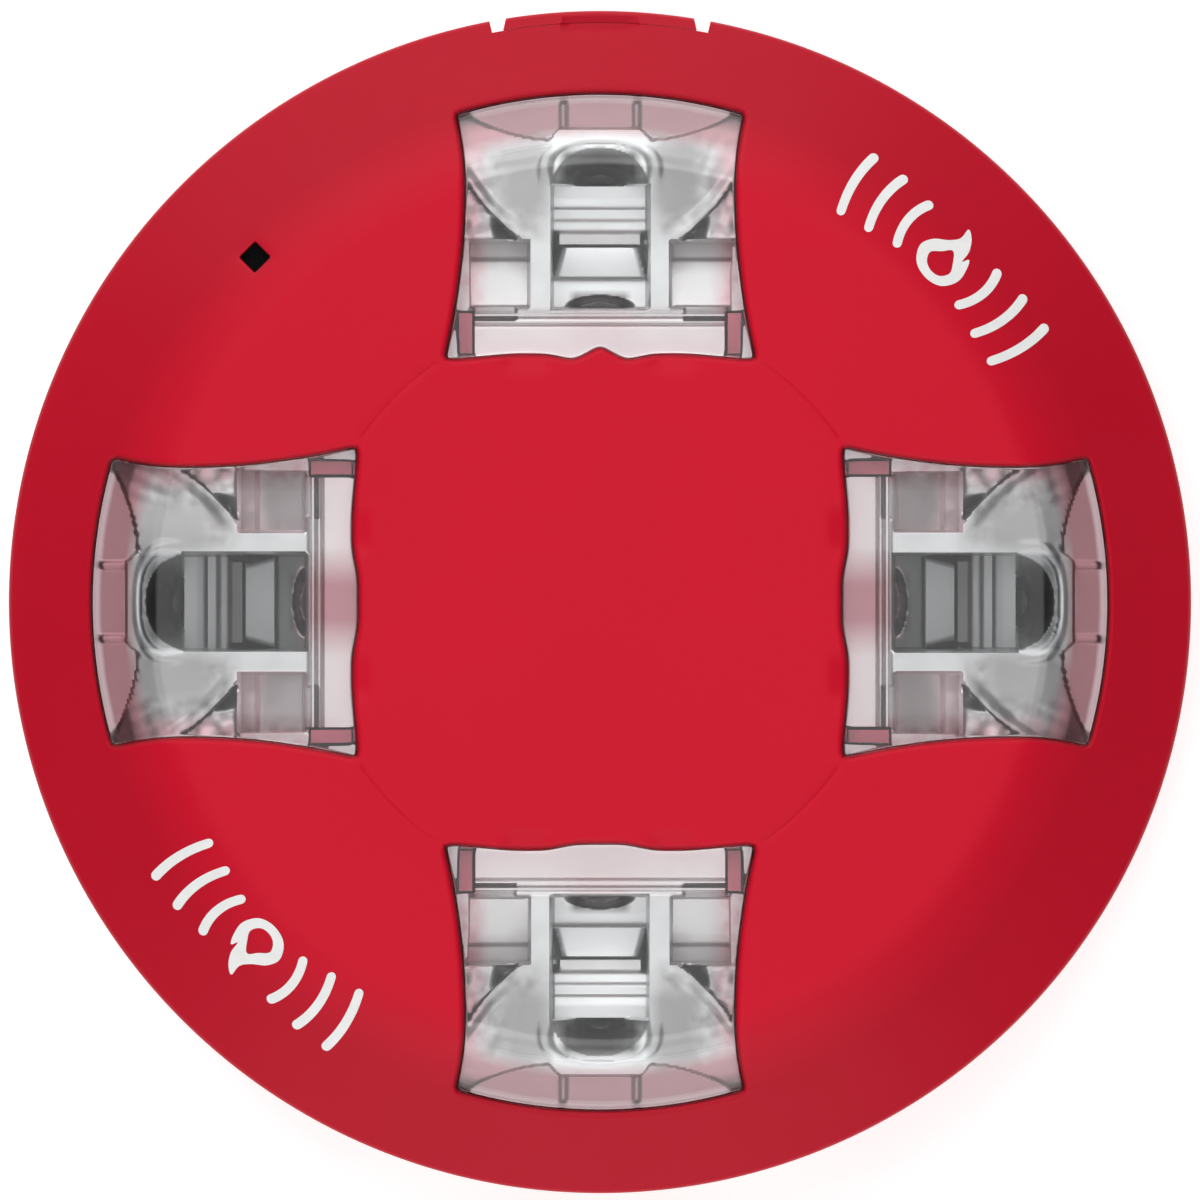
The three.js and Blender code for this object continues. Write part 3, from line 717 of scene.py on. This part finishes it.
def add_seam_lines(sheet):
    """Lines along the seam ring, between the windows."""
    free = math.radians(45) - math.asin((WINDOW_INNER[1] + 1.6) / SEAM_R)
    for degrees in (45, 225, 135, 315):
        a = math.radians(degrees) + np.linspace(-free, free, 36)
        for step in (-0.32, -0.13, 0, 0.13, 0.32):
            sheet.add_line((SEAM_R + step) * np.column_stack([np.cos(a), np.sin(a)]))


CAP_RINGS = [3, 8, 14, 20, 26, 30, 33, 36, 38.5, 40.6, 43.2, 45, 47, 50, 53, 56, 59, 61.5,
             62.5, 63.25, 64, 64.75, 65.5, 66.25, 67, 68,  # the bend
             70, 72.5, 75, 77.5, 80, 81.6, 82.5, 83.1, 83.7]


def add_cap_rings(sheet, window_lines):
    """Loose points in rings over the cap, closer together where it bends."""
    for r in CAP_RINGS:
        step = 2.2 if r < 75 else 1.6
        count = max(12, int(2 * math.pi * r / step))
        a = np.arange(count) * 2 * math.pi / count
        ring = r * np.column_stack([np.cos(a), np.sin(a)])
        clear = np.ones(count, bool)
        for line in window_lines:
            clear &= (distance_to(ring, line) > CLEAR_OF_EDGES) & ~inside(ring, line)
        sheet.add_fill(ring[clear])


def add_scoop_points(sheet, window_lines):
    """Closer points where the cap is scooped out beside each window's inner edge."""
    u, v = np.meshgrid(np.arange(31.4, 35.2, 0.6), np.arange(-16, 16.1, 0.9))
    patch = np.column_stack([u.ravel(), v.ravel()])
    fill = np.vstack([turned(patch, degrees) for degrees in WINDOW_TURNS.values()])
    gaps = np.min([distance_to(fill, line) for line in window_lines], axis=0)
    fill = fill[gaps > CLEAR_OF_EDGES]
    sheet.add_fill(fill[distance_to(fill, sheet.points) > 0.35])


def rim_kinds(angles, slit, relief):
    """What each stretch of the rim is: notched at the latch, relieved at the hinge, or full."""
    kinds = []
    for i, angle in enumerate(angles):
        following = angles[(i + 1) % len(angles)]
        middle = (angle + following) / 2 if following > angle else 0.0
        from_top = min(middle, 2 * math.pi - middle)
        kinds.append("notch" if from_top < slit else "relief" if from_top > relief else "full")
    return kinds


def rim_faces(columns, kinds, profile):
    """Faces between neighbouring columns of the rim, and ends where its kind changes."""
    out_low = next(k for k, (r, z) in enumerate(profile) if z == RELIEF_TOP and r > RIM_R)
    in_low = next(k for k, (r, z) in enumerate(profile) if z == RELIEF_TOP and r == RIM_R)
    last = len(profile) - 1
    chains = {
        "notch": [0, last],
        "relief": [*range(out_low + 1), *range(in_low, last + 1)],
        "full": list(range(last + 1)),
    }
    faces = []
    for i, kind in enumerate(kinds):
        a, b = columns[i], columns[(i + 1) % len(columns)]
        chain = chains[kind]
        faces += [(a[j], b[j], b[k], a[k]) for j, k in zip(chain, chain[1:])]
        before = kinds[i - 1]
        if before != kind:
            whole_end = "notch" in (kind, before)
            faces.append(tuple(a if whole_end else a[out_low:in_low + 1]))
    return faces


def make_front_cover(material):
    angles, slit, relief = column_angles()
    profile = rim_profile()
    sheet = Sheet()
    outer = sheet.add_loop(np.column_stack([RIM_R * np.sin(angles), RIM_R * np.cos(angles)]))
    holes, drops = add_openings(sheet)
    window_lines = [sheet.points[hole] for hole in holes]
    add_seam_lines(sheet)
    add_cap_rings(sheet, window_lines)
    add_scoop_points(sheet, window_lines)
    triangles = sheet.triangles(outer, holes)

    flat = sheet.points
    top = cap_height(flat)
    top[list(drops)] -= np.array(list(drops.values()))
    under = dome_height(np.hypot(*flat.T)) - CAP_WALL
    verts, faces = slab(flat, triangles, top, under, holes)

    columns = []
    for i, angle in zip(outer, angles):
        start = len(verts)
        verts += column_points(angle, slit, profile)[1:-1]
        columns.append([i, *range(start, len(verts)), i + len(flat)])
    faces += rim_faces(columns, rim_kinds(angles, slit, relief), profile)
    make_piece("cover_shell", verts, faces, material, "head", ["front_cover", "front_skirt"],
               30)


def make_latch_tab(material):
    """The tab between the slits, and the arm that springs behind the catch."""
    upper = [(r + (TAB_CLEAR if r == RIM_R else 0), z) for r, z in rim_profile()[:-5]]
    edge_z = upper[0][1]
    loop = upper + [(RIM_R + 0.3, z) for z in (SKIRT_BOTTOM, 15, edge_z - 2.6)]
    columns = 31
    verts = []
    for step in np.linspace(-1, 1, columns):
        for r, z in loop:
            x = step * (TAB_X - SLIT_TAPER * (r - RIM_R) / (SKIRT_R - RIM_R))
            verts.append((x, math.sqrt(r * r - x * x), z))
    verts = np.array(verts)
    thumb = verts[:, 2] > edge_z - 1.2
    flat = verts[thumb, :2]
    verts[thumb, 2] += cap_height(flat) - dome_height(np.hypot(*flat.T))
    make_piece("latch_tab", verts, tube_faces(columns, len(loop)), material, "latch",
               ["release_latch"], 30)

    arm_y = box_mm("release_latch")[0][1]
    arm = [(0.5, 14.6), (0, 14.1), (0, 5.0), (0.4, 4.6), (1.8, 4.6), (3.4, 6.2), (3.4, 8.4),
           (2.0, 9.4), (2.0, 12.6)]
    side = [(RIM_R + 0.5, 12.6), (RIM_R + 0.5, 14.6), *((arm_y + y, z) for y, z in arm)]
    verts = [(x, y, z) for x in (-ARM_HALF, ARM_HALF) for y, z in side]
    make_piece("latch_arm", verts, tube_faces(2, len(side)), material, "latch", [], 30)


# ---- lenses

LENS_PAD = 1.3
LENS_PLATE = 1.5
LENS_STEP = 2.6
LENS_BACK = 4.0
LENS_FLANGE = 1.8
LENS_GAP = 0.12
LENS_SHIFT = [[-0.04, 0.0]]
LENS_EDGE = 0.3


def make_lens(number, material):
    """A clear plate with a softly rounded edge, and a flange behind the cover."""
    outline = window_outline(pointer=number == 1)
    sheet = Sheet()
    flange = sheet.add_loop(offset(window_outline(), LENS_FLANGE))
    foot = sheet.add_loop(offset(outline, -LENS_GAP + 0.04) + LENS_SHIFT)
    levels = {i: -LENS_STEP for i in flange + foot}
    for step in (0.0, 0.08, 0.18, LENS_EDGE):
        loop = sheet.add_loop(offset(outline, -LENS_GAP - step) + LENS_SHIFT)
        dip = LENS_EDGE - math.sqrt(LENS_EDGE ** 2 - (LENS_EDGE - step) ** 2)
        levels.update({i: -LENS_PAD - dip for i in loop})
    u, v = np.meshgrid(np.arange(36, 76, 1.2), np.arange(-22.5, 22.6, 1.2))
    fill = np.column_stack([u.ravel(), v.ravel()])
    line = sheet.points[loop]
    sheet.add_fill(fill[inside(fill, line) & (distance_to(fill, line) > 0.8)])
    triangles = sheet.triangles(flange, [])
    flat = sheet.points
    cap = dome_height(np.hypot(*flat.T))
    top = cap - LENS_PAD
    for i, level in levels.items():
        top[i] = cap[i] + level
    bottom = cap - LENS_PAD - LENS_PLATE
    bottom[flange + foot] = cap[flange + foot] - LENS_BACK
    verts, faces = slab(flat, triangles, top, bottom, [flange])
    make_piece(f"lens_{number}_clear", turned(verts, WINDOW_TURNS[number]), faces, material, "head",
               [f"lens_{number}"], 40)


# ---- reflectors

REFLECTOR_GAP = 0.45
REFLECTOR_GRID = 0.26
RAIL_DEPTH = 5.2
TROUGH_HALF = 7.2
TROUGH_ARCH_U = 62.9
TROUGH_ARCH = 3.9


def rail_plane(r):
    """The reflector's upper face: the cap's inner cone, then a gentle fall that clears the lens."""
    cone = COVER_TOP - RAIL_DEPTH - math.tan(INNER_SLOPE) * (r - FLAT_R)
    fall = 0.16 * np.clip(r - RIDGE_R, 0, None)
    return np.minimum(cone - fall, dome_height(r) - 3.3)


def between(x, low, high, soft=0.12):
    """1 between low and high and 0 outside, with soft edges."""
    return smooth((x - low) / soft + 0.5) * smooth((high - x) / soft + 0.5)


def trough_floor(u, v):
    """Steps, optic block and end pocket along the trough."""
    a = np.abs(v)
    knots_u = [42.0, 43.4, 47.3, 47.5, 52.1, 52.3, 54.0, 54.3, 55.7, 56.0, 57.4, 57.7, 59.0, 60.6]
    knots_z = [27.2, 26.2, 24.7, 24.3, 24.0, 25.2, 25.9, 26.6, 26.9, 27.4, 27.6, 28.2, 28.5, 28.6]
    z = np.interp(u, knots_u, knots_z)
    optic_half = 5.6 + 1.2 * np.clip((52.0 - u) / 4.5, 0, 1)
    optic = between(u, 47.5, 52.0) * smooth((optic_half - a) / 0.3 + 0.5)
    edge = smooth((a - optic_half + 0.8) / 0.6)
    z = z + optic * (1.6 - 0.09 * ((u - 49.7) / 2.2) ** 2 - 0.3 * edge)
    wedge_in = np.where(u < 52.0, optic_half + 0.1, 5.9)
    wedge = np.clip((a - wedge_in) / (7.4 - wedge_in), 0, 1) * (a > wedge_in)
    z = z - 5.5 * between(u, 47.6, 53.8, 1.2) * wedge
    crescent = np.clip(1 - np.hypot((u - 43.0) / 2.0, v / 5.4), 0, 1) * (u > 43.0)
    z = z - 4.5 * smooth(crescent / 0.5)
    rho = np.clip(np.hypot(np.clip(u - 60.9, 0, None) / 5.3, v / 6.8), 0, 1)
    pit = 21.0 + 9.0 * smooth(rho / 0.72) + 5.0 * np.clip((rho - 0.66) / 0.34, 0, 1)
    pit = pit + 1.2 * np.exp(-(((u - 62.4) / 0.4) ** 2)) * (1 - rho)
    return np.where(u > 60.8, pit, z)


def wing_height(u, a):
    """How far the face beside the rails lies below the upper face."""
    # The floors beside the rails slope down outwards and end at a step.
    shelf = smooth((a - 10.1) / 0.35) * between(u, 43.0, 52.6, 0.4) * (a < 18.8)
    slope = 1.0 + 0.4 * (u - 43.0) + 0.6 * smooth((u - 49.8) / 0.4)
    drop = shelf * (slope + 0.07 * (18 - a))
    louvres = between(a, 12.2, 18.8, 0.4) * (between(u, 41.0, 41.6) + between(u, 42.2, 42.8))
    drop = drop + 0.9 * louvres
    # A soft panel reaches out to a curved ridge, with a deep slot on the ridge's inner side.
    bend = 52.4 + 0.5 * np.clip(a - 10.2, 0, None) + 0.055 * np.clip(a - 10.2, 0, None) ** 2
    inward = bend - u
    panel = (u > 52.4) * smooth((-inward - 0.5) / 2.5)
    drop = drop + panel * 0.7 * smooth((a - 7.6) / 9.0)
    slot = smooth((inward - 0.1) / 0.5) * smooth((u - 52.5) / 0.8) * (a > 10)
    deep = slot * smooth((16.0 - a) / 2.0)
    rise = np.clip(inward / 4.0, 0, 1)
    facets = 0.08 * np.sin(u * 1.9 + a * 1.1) + 0.07 * np.sin(a * 2.3 - u * 0.8)
    drop = drop + deep * 4.4 * (1 - rise) + slot * (0.8 + facets)
    # The outer corners of the wings are lightly hammered.
    corner = smooth((a - 13.0) / 2.5) * smooth((u - 56) / 2.0)
    return drop - 0.025 * corner * (np.sin(u * 2.1 + a * 0.6) + np.sin(a * 2.4 - u * 1.1))


def reflector_height(u, v):
    """The metallised face's height at (u, v)."""
    r = np.hypot(u, v)
    u = 1.006 * u
    a = np.abs(v)
    plane = rail_plane(r)
    grooves = sum(np.exp(-(((u - at) / 0.16) ** 2)) for at in (40.4, 41.4, 42.3))
    z = plane - 0.5 * grooves * (a < 18.5) - wing_height(u, a)
    # The trough.
    beyond_arch = np.clip(u - TROUGH_ARCH_U, 0, None) / TROUGH_ARCH
    across = (beyond_arch ** 2.4 + (a / TROUGH_HALF) ** 2.4) ** (1 / 2.4)
    trough = smooth((1 - across) / 0.06) * smooth((u - 42.6) / 0.5)
    z = z + trough * (np.minimum(trough_floor(u, v), plane - 0.3) - z)
    # A rounded lip runs round the trough's arch.
    ring = np.exp(-(((across - 1.13) / 0.11) ** 4)) * smooth((u - 60.0) / 4.0)
    z = z + 0.3 * ring
    # Beyond a concave curve the face drops to a nearly level border.
    far = 66.9 + 0.0207 * np.clip(a - 5.9, 0, None) ** 2 + 1.7 * smooth((7.6 - a) / 1.8)
    beyond = smooth((u - far) / 0.4)
    border = np.minimum(31.4 - 0.05 * (u - 67), dome_height(r) - 3.3)
    ribs = np.exp(-(((a - 5.3) / 0.5) ** 4)) * between(u, 69.0, 72.6, 0.6)
    z = z + beyond * (border + 0.5 * ribs - z)
    # Notches at the two inner corners.
    notch = between(a, 18.3, 20.5, 0.2) * between(u, 36.0, 42.2, 0.2)
    z = z - 5.5 * notch
    return np.maximum(z, 20.4)


def make_reflector(number, material):
    outline = window_outline(shrink=REFLECTOR_GAP)
    low_u, high_u = outline[:, 0].min(), outline[:, 0].max()
    u = np.arange(low_u + 0.2, high_u, REFLECTOR_GRID)
    v = np.arange(-24.0, 24.01, REFLECTOR_GRID)
    grid = np.column_stack([axis.ravel() for axis in np.meshgrid(u, v)])
    sheet = Sheet()
    edge = sheet.add_loop(outline)
    sheet.add_fill(grid[inside(grid, outline) & (distance_to(grid, outline) > 0.4)])
    triangles = sheet.triangles(edge, [])
    flat = sheet.points
    count = len(flat)
    top = reflector_height(flat[:, 0], flat[:, 1])
    base = np.full(len(edge), box_mm(f"reflector_{number}")[0][2])
    verts = np.vstack([np.column_stack([flat, top]), np.column_stack([flat[edge], base])])
    faces = [tuple(t) for t in triangles]
    for i, a in enumerate(edge):
        j = (i + 1) % len(edge)
        faces.append((a, edge[j], count + j, count + i))
    faces.append(tuple(range(count, count + len(edge))))
    make_piece(f"reflector_{number}_face", turned(verts, WINDOW_TURNS[number]), faces, material,
               "head", [f"reflector_{number}"], 50)


# ---- printed marks


def curve_through(points):
    """A smooth closed line through given points (Catmull-Rom), with 5 steps between two."""
    p = np.array(points, float)
    result = []
    for i in range(len(p)):
        a, b, c, d = (p[(i + k) % len(p)] for k in (-1, 0, 1, 2))
        for t in np.arange(5) / 5:
            result.append(0.5 * (2 * b + (c - a) * t + (2 * a - 5 * b + 4 * c - d) * t * t
                                 + (3 * b - a - 3 * c + d) * t ** 3))
    return np.array(result)


def band(radius, spread, stroke):
    """One arc of a sound wave as a closed outline with round ends, centred on the s axis."""
    a = np.linspace(-spread, spread, 28)
    outer = (radius + stroke / 2) * np.column_stack([np.cos(a), np.sin(a)])
    inner = (radius - stroke / 2) * np.column_stack([np.cos(a), np.sin(a)])[::-1]
    return np.vstack([outer, end_cap(spread, spread, radius, stroke), inner,
                      end_cap(-spread, -spread + math.pi, radius, stroke)])


def end_cap(angle, start, radius, stroke):
    centre = radius * np.array([math.cos(angle), math.sin(angle)])
    turn = start + np.linspace(0, math.pi, 8)[1:-1]
    return centre + stroke / 2 * np.column_stack([np.cos(turn), np.sin(turn)])


def mark_shapes():
    """(outline, hole) of a flame and sound waves, in (s, h): s along the ring, h outwards."""
    flame = curve_through([
        (0.2, -4.6), (2.7, -3.8), (3.9, -1.6), (3.5, 0.5), (2.7, 1.9), (2.2, 0.9), (1.9, 2.6),
        (0.9, 4.2), (-0.4, 5.0), (-0.3, 3.2), (-1.4, 1.7), (-3.1, 0.3), (-3.9, -1.7), (-2.5, -3.9)])
    core = curve_through([(0.1, -3.3), (1.5, -2.9), (2.2, -1.6), (1.5, -0.3), (0.2, 1.1),
                          (-0.9, -0.1), (-2.1, -1.4), (-1.4, -2.8)])
    shapes = [(flame, core)]
    for radius, spread in ((7.6, 0.5), (12.4, 0.36), (17.2, 0.27)):
        wave = band(radius, spread, 1.4)
        shapes.append((wave, None))
        shapes.append((wave[::-1] * [-1, 1], None))
    return shapes


def make_marks(material):
    for number, degrees in enumerate(MARK_ANGLES, 1):
        verts, faces = [], []
        for outline, hole in mark_shapes():
            sheet = Sheet()
            edge = sheet.add_loop(resampled(outline, 0.3))
            holes = [sheet.add_loop(resampled(hole, 0.3))] if hole is not None else []
            low, high = outline.min(0), outline.max(0)
            s, h = np.meshgrid(np.arange(low[0], high[0], 0.55), np.arange(low[1], high[1], 0.55))
            fill = np.column_stack([s.ravel(), h.ravel()])
            keep = inside(fill, sheet.points[edge])
            for loop in holes:
                keep &= ~inside(fill, sheet.points[loop])
            sheet.add_fill(fill[keep & (distance_to(fill, sheet.points) > 0.3)])
            triangles = sheet.triangles(edge, holes)
            angle = math.radians(degrees) - sheet.points[:, 0] / MARK_R
            r = MARK_R + sheet.points[:, 1]
            flat = np.column_stack([r * np.cos(angle), r * np.sin(angle)])
            top = cap_height(flat)
            more, sides = slab(flat, triangles, top + 0.05, top - 0.15, [edge, *holes])
            faces += [tuple(i + len(verts) for i in face) for face in sides]
            verts += more
        make_piece(f"pictogram_{number}", verts, faces, material, "head", [], 40)


CLIP_U = (36.1, 41.8)
CLIP_V = (18.5, 20.3)
CLIP_DEPTH = 4.6
CLIP_THICKNESS = 2.6


def make_lens_clips(material):
    """Red tabs that hold each lens at its inner corners."""
    for number, degrees in WINDOW_TURNS.items():
        verts = []
        for side in (-1, 1):
            near, far = (side * v for v in CLIP_V)
            for u in CLIP_U:
                top = float(dome_height(np.array(u))) - CLIP_DEPTH
                low = top - CLIP_THICKNESS
                verts += [(u, near, low), (u, near, top), (u, far, top), (u, far, low)]
        faces = tube_faces(2, 4) + tube_faces(2, 4, 8)
        make_piece(f"lens_clips_{number}", turned(verts, degrees), faces, material, "head", [])


SOCKET_U = 62.9
SOCKET_HALVES = (2.1, 5.9)
SOCKET_RINGS = [(1.0, 21.2), (1.0, 24.0), (0.93, 24.6), (0.8, 24.9), (0.55, 25.2), (0.25, 25.3)]
SOCKET_SIDES = 40


def make_lamp_sockets(material):
    """Dark domed sockets in the end pockets of the reflectors."""
    half_u, half_v = SOCKET_HALVES
    verts = []
    for size, z in SOCKET_RINGS:
        for i in range(SOCKET_SIDES):
            angle = 2 * math.pi * i / SOCKET_SIDES
            c, s = math.cos(angle), math.sin(angle)
            u = SOCKET_U + half_u * size * math.copysign(abs(c) ** 0.75, c)
            v = half_v * size * math.copysign(abs(s) ** 0.75, s)
            verts.append((u, v, z))
    faces = tube_faces(len(SOCKET_RINGS), SOCKET_SIDES)
    for number, degrees in WINDOW_TURNS.items():
        make_piece(f"lamp_socket_{number}", turned(verts, degrees), faces, material, "head", [])


SCREEN_HALF = 2.5
SCREEN_Z = (32.35, 32.65)


def make_port_screen(material):
    """A dark cloth behind the sound port."""
    verts = [(x, y, z) for z in SCREEN_Z for x, y in at_port(square(SCREEN_HALF))]
    make_piece("port_screen", verts, tube_faces(2, 4), material, "head", [])


# ---- seams inside the mouldings


def make_ring(name, radii, heights, is_open, material, body):
    """A flat ring with gaps where is_open(x, y) holds; it closes the seam between two CAD nodes."""
    inner, outer = radii
    corners = [(inner, heights[0]), (outer, heights[0]), (outer, heights[1]), (inner, heights[1])]
    angles = np.radians(np.arange(0, 360, 0.5))
    middles = angles + math.radians(0.25)
    solid = [not is_open(outer * math.cos(a), outer * math.sin(a)) for a in middles]
    verts = [(r * math.cos(a), r * math.sin(a), z) for a in angles for r, z in corners]
    count = len(angles)
    faces = []
    for i in range(count):
        a, b = 4 * i, 4 * ((i + 1) % count)
        if solid[i]:
            faces += [(a + j, b + j, b + (j + 1) % 4, a + (j + 1) % 4) for j in range(4)]
        if solid[i] != solid[i - 1]:
            faces.append((a, a + 1, a + 2, a + 3))
    used = sorted({i for face in faces for i in face})
    place = {old: new for new, old in enumerate(used)}
    verts = [verts[i] for i in used]
    faces = [tuple(place[i] for i in face) for face in faces]
    make_piece(name, verts, faces, material, body, [])


def close_seams(ivory, black):
    """Rings over the 0.3 mm gaps between the two CAD nodes of the plate and of the rear cover."""

    def at_hooks(x, y):
        return y < -75 and 3.9 < abs(x) < 13.1

    def at_latch(x, y):
        return y > 75 and abs(x) < 15.6

    make_ring("plate_seam", (79.85, 81.95), (2.4, 2.9), at_hooks, ivory, "plate")
    make_ring("rear_seam", (81.3, 81.8), (14.04, 15.96), at_latch, black, "head")


# ---- LEDs

LED_BASE = 1.4
LED_DOME_R = 2.2
LED_SIDES = 32


def make_led(number, ceramic):
    """A ceramic carrier with a domed cap, standing for one CAD LED."""
    low, high = box_mm(f"led_{number}")
    x, y = ((low + high) / 2)[:2]
    half = (high[0] - low[0]) / 2
    base_top = low[2] + LED_BASE
    turns = [2 * math.pi * i / LED_SIDES for i in range(LED_SIDES)]

    def carrier(size, z):
        """A square ring with cut corners."""
        reach = [min(size / max(abs(math.cos(a)), abs(math.sin(a))), size * 1.3) for a in turns]
        return [(x + k * math.cos(a), y + k * math.sin(a), z) for k, a in zip(reach, turns)]

    def circle(r, z):
        return [(x + r * math.cos(a), y + r * math.sin(a), z) for a in turns]

    rings = [carrier(half, low[2]), carrier(half, base_top - 0.2), carrier(half - 0.2, base_top),
             circle(LED_DOME_R + 0.1, base_top), circle(LED_DOME_R, base_top + 0.25)]
    for a in np.linspace(0.2, 1.45, 8):
        rings.append(circle(LED_DOME_R * math.cos(a), base_top + LED_DOME_R * math.sin(a)))
    verts = [p for ring in rings for p in ring]
    make_piece(f"led_{number}_dome", verts, tube_faces(len(rings), LED_SIDES), ceramic, "head",
               [f"led_{number}"], 35)


# ---- materials of the other pieces


PLASTICS = {  # the start of a node's name: material, colour, roughness and grain
    "terminal_block": ("terminal_plastic", (0.022, 0.022, 0.024), 0.45),
    "main_board": ("solder_mask", (0.012, 0.13, 0.05), 0.35, 0.01),
    "horn_chamber": ("horn_plastic", (0.01, 0.01, 0.011), 0.6, 0.03),
    "horn_gasket": ("gasket_foam", (0.02, 0.02, 0.022), 0.9, 0.15),
    "capacitor": ("capacitor_sleeve", (0.02, 0.026, 0.07), 0.3, 0.01),
    "inductor": ("ferrite_drum", (0.03, 0.03, 0.032), 0.6, 0.06),
    "transformer": ("ferrite_core", (0.04, 0.036, 0.034), 0.6, 0.06),
    "microcontroller": ("chip_epoxy", (0.015, 0.015, 0.016), 0.5, 0.02),
    "candela_switch": ("switch_plastic", (0.02, 0.02, 0.022), 0.5),
    "tone_switch": ("tone_switch_plastic", (0.02, 0.02, 0.022), 0.5),
    "candela_knob": ("knob_white", (0.8, 0.8, 0.77), 0.4),
    "tone_dial": ("dial_white", (0.8, 0.8, 0.77), 0.4),
}
METALS = {
    "terminal_screw": ("zinc", (0.62, 0.62, 0.64), 0.32),
    "cover_screw": ("zinc_screws", (0.58, 0.58, 0.6), 0.35),
    "terminal_clamp": ("nickel_brass", (0.76, 0.62, 0.38), 0.3),
    "contact_blade": ("blade_brass", (0.78, 0.6, 0.3), 0.28),
    "piezo_disc": ("piezo_brass", (0.8, 0.62, 0.3), 0.3),
}


def dress_nodes(ivory, black):
    """Gives every CAD node that still shows its own material."""
    looks = {"mounting_plate": ivory, "plate_rim": ivory, "rear_cover": black, "rear_wall": black}
    looks.update({start: plain_plastic(*row) for start, row in PLASTICS.items()})
    looks.update({start: metal(*row) for start, row in METALS.items()})
    for name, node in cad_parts.items():
        for start, material in looks.items():
            if name.startswith(start):
                node.data.materials.clear()
                node.data.materials.append(material)


# ---- the whole model

make_camera()
make_studio()
make_floor()

red = red_plastic()
make_front_cover(red)
make_latch_tab(red)
make_marks(mark_ink())
make_lens_clips(plain_plastic("clip_red", (0.36, 0.07, 0.105), 0.42))
make_lamp_sockets(plain_plastic("socket_plastic", (0.02, 0.02, 0.021), 0.35, 0.01))
make_port_screen(plain_plastic("port_cloth", (0.004, 0.004, 0.004), 0.9, 0.1))
clear = clear_plastic()
# Two copies of the reflector with different painted light: for the windows on ±X the trough is
# painted dark as shade and the shelves light, for the windows on ±Y the trough is painted bright as
# lit.
mirrors = {
    0: metallised_plastic("metallised_plastic_shade_painted", (0.27, 0.27, 0.275), (0.84, 0.74, 0.76),
                          (0.42, 0.2, 0.23)),
    1: metallised_plastic("metallised_plastic_light_painted", (0.66, 0.66, 0.665), (0.56, 0.54, 0.545),
                          (0.62, 0.52, 0.535)),
}
ceramic = plain_plastic("led_silicone", (0.86, 0.8, 0.6), 0.3, 0.005)
for window in WINDOW_TURNS:
    make_lens(window, clear)
    make_reflector(window, mirrors[window % 2])
    make_led(window, ceramic)
ivory = plain_plastic("ivory_plastic", (0.68, 0.65, 0.57), 0.5, 0.03)
black = plain_plastic("black_plastic", (0.014, 0.0145, 0.016), 0.5, 0.04)
dress_nodes(ivory, black)
close_seams(ivory, black)
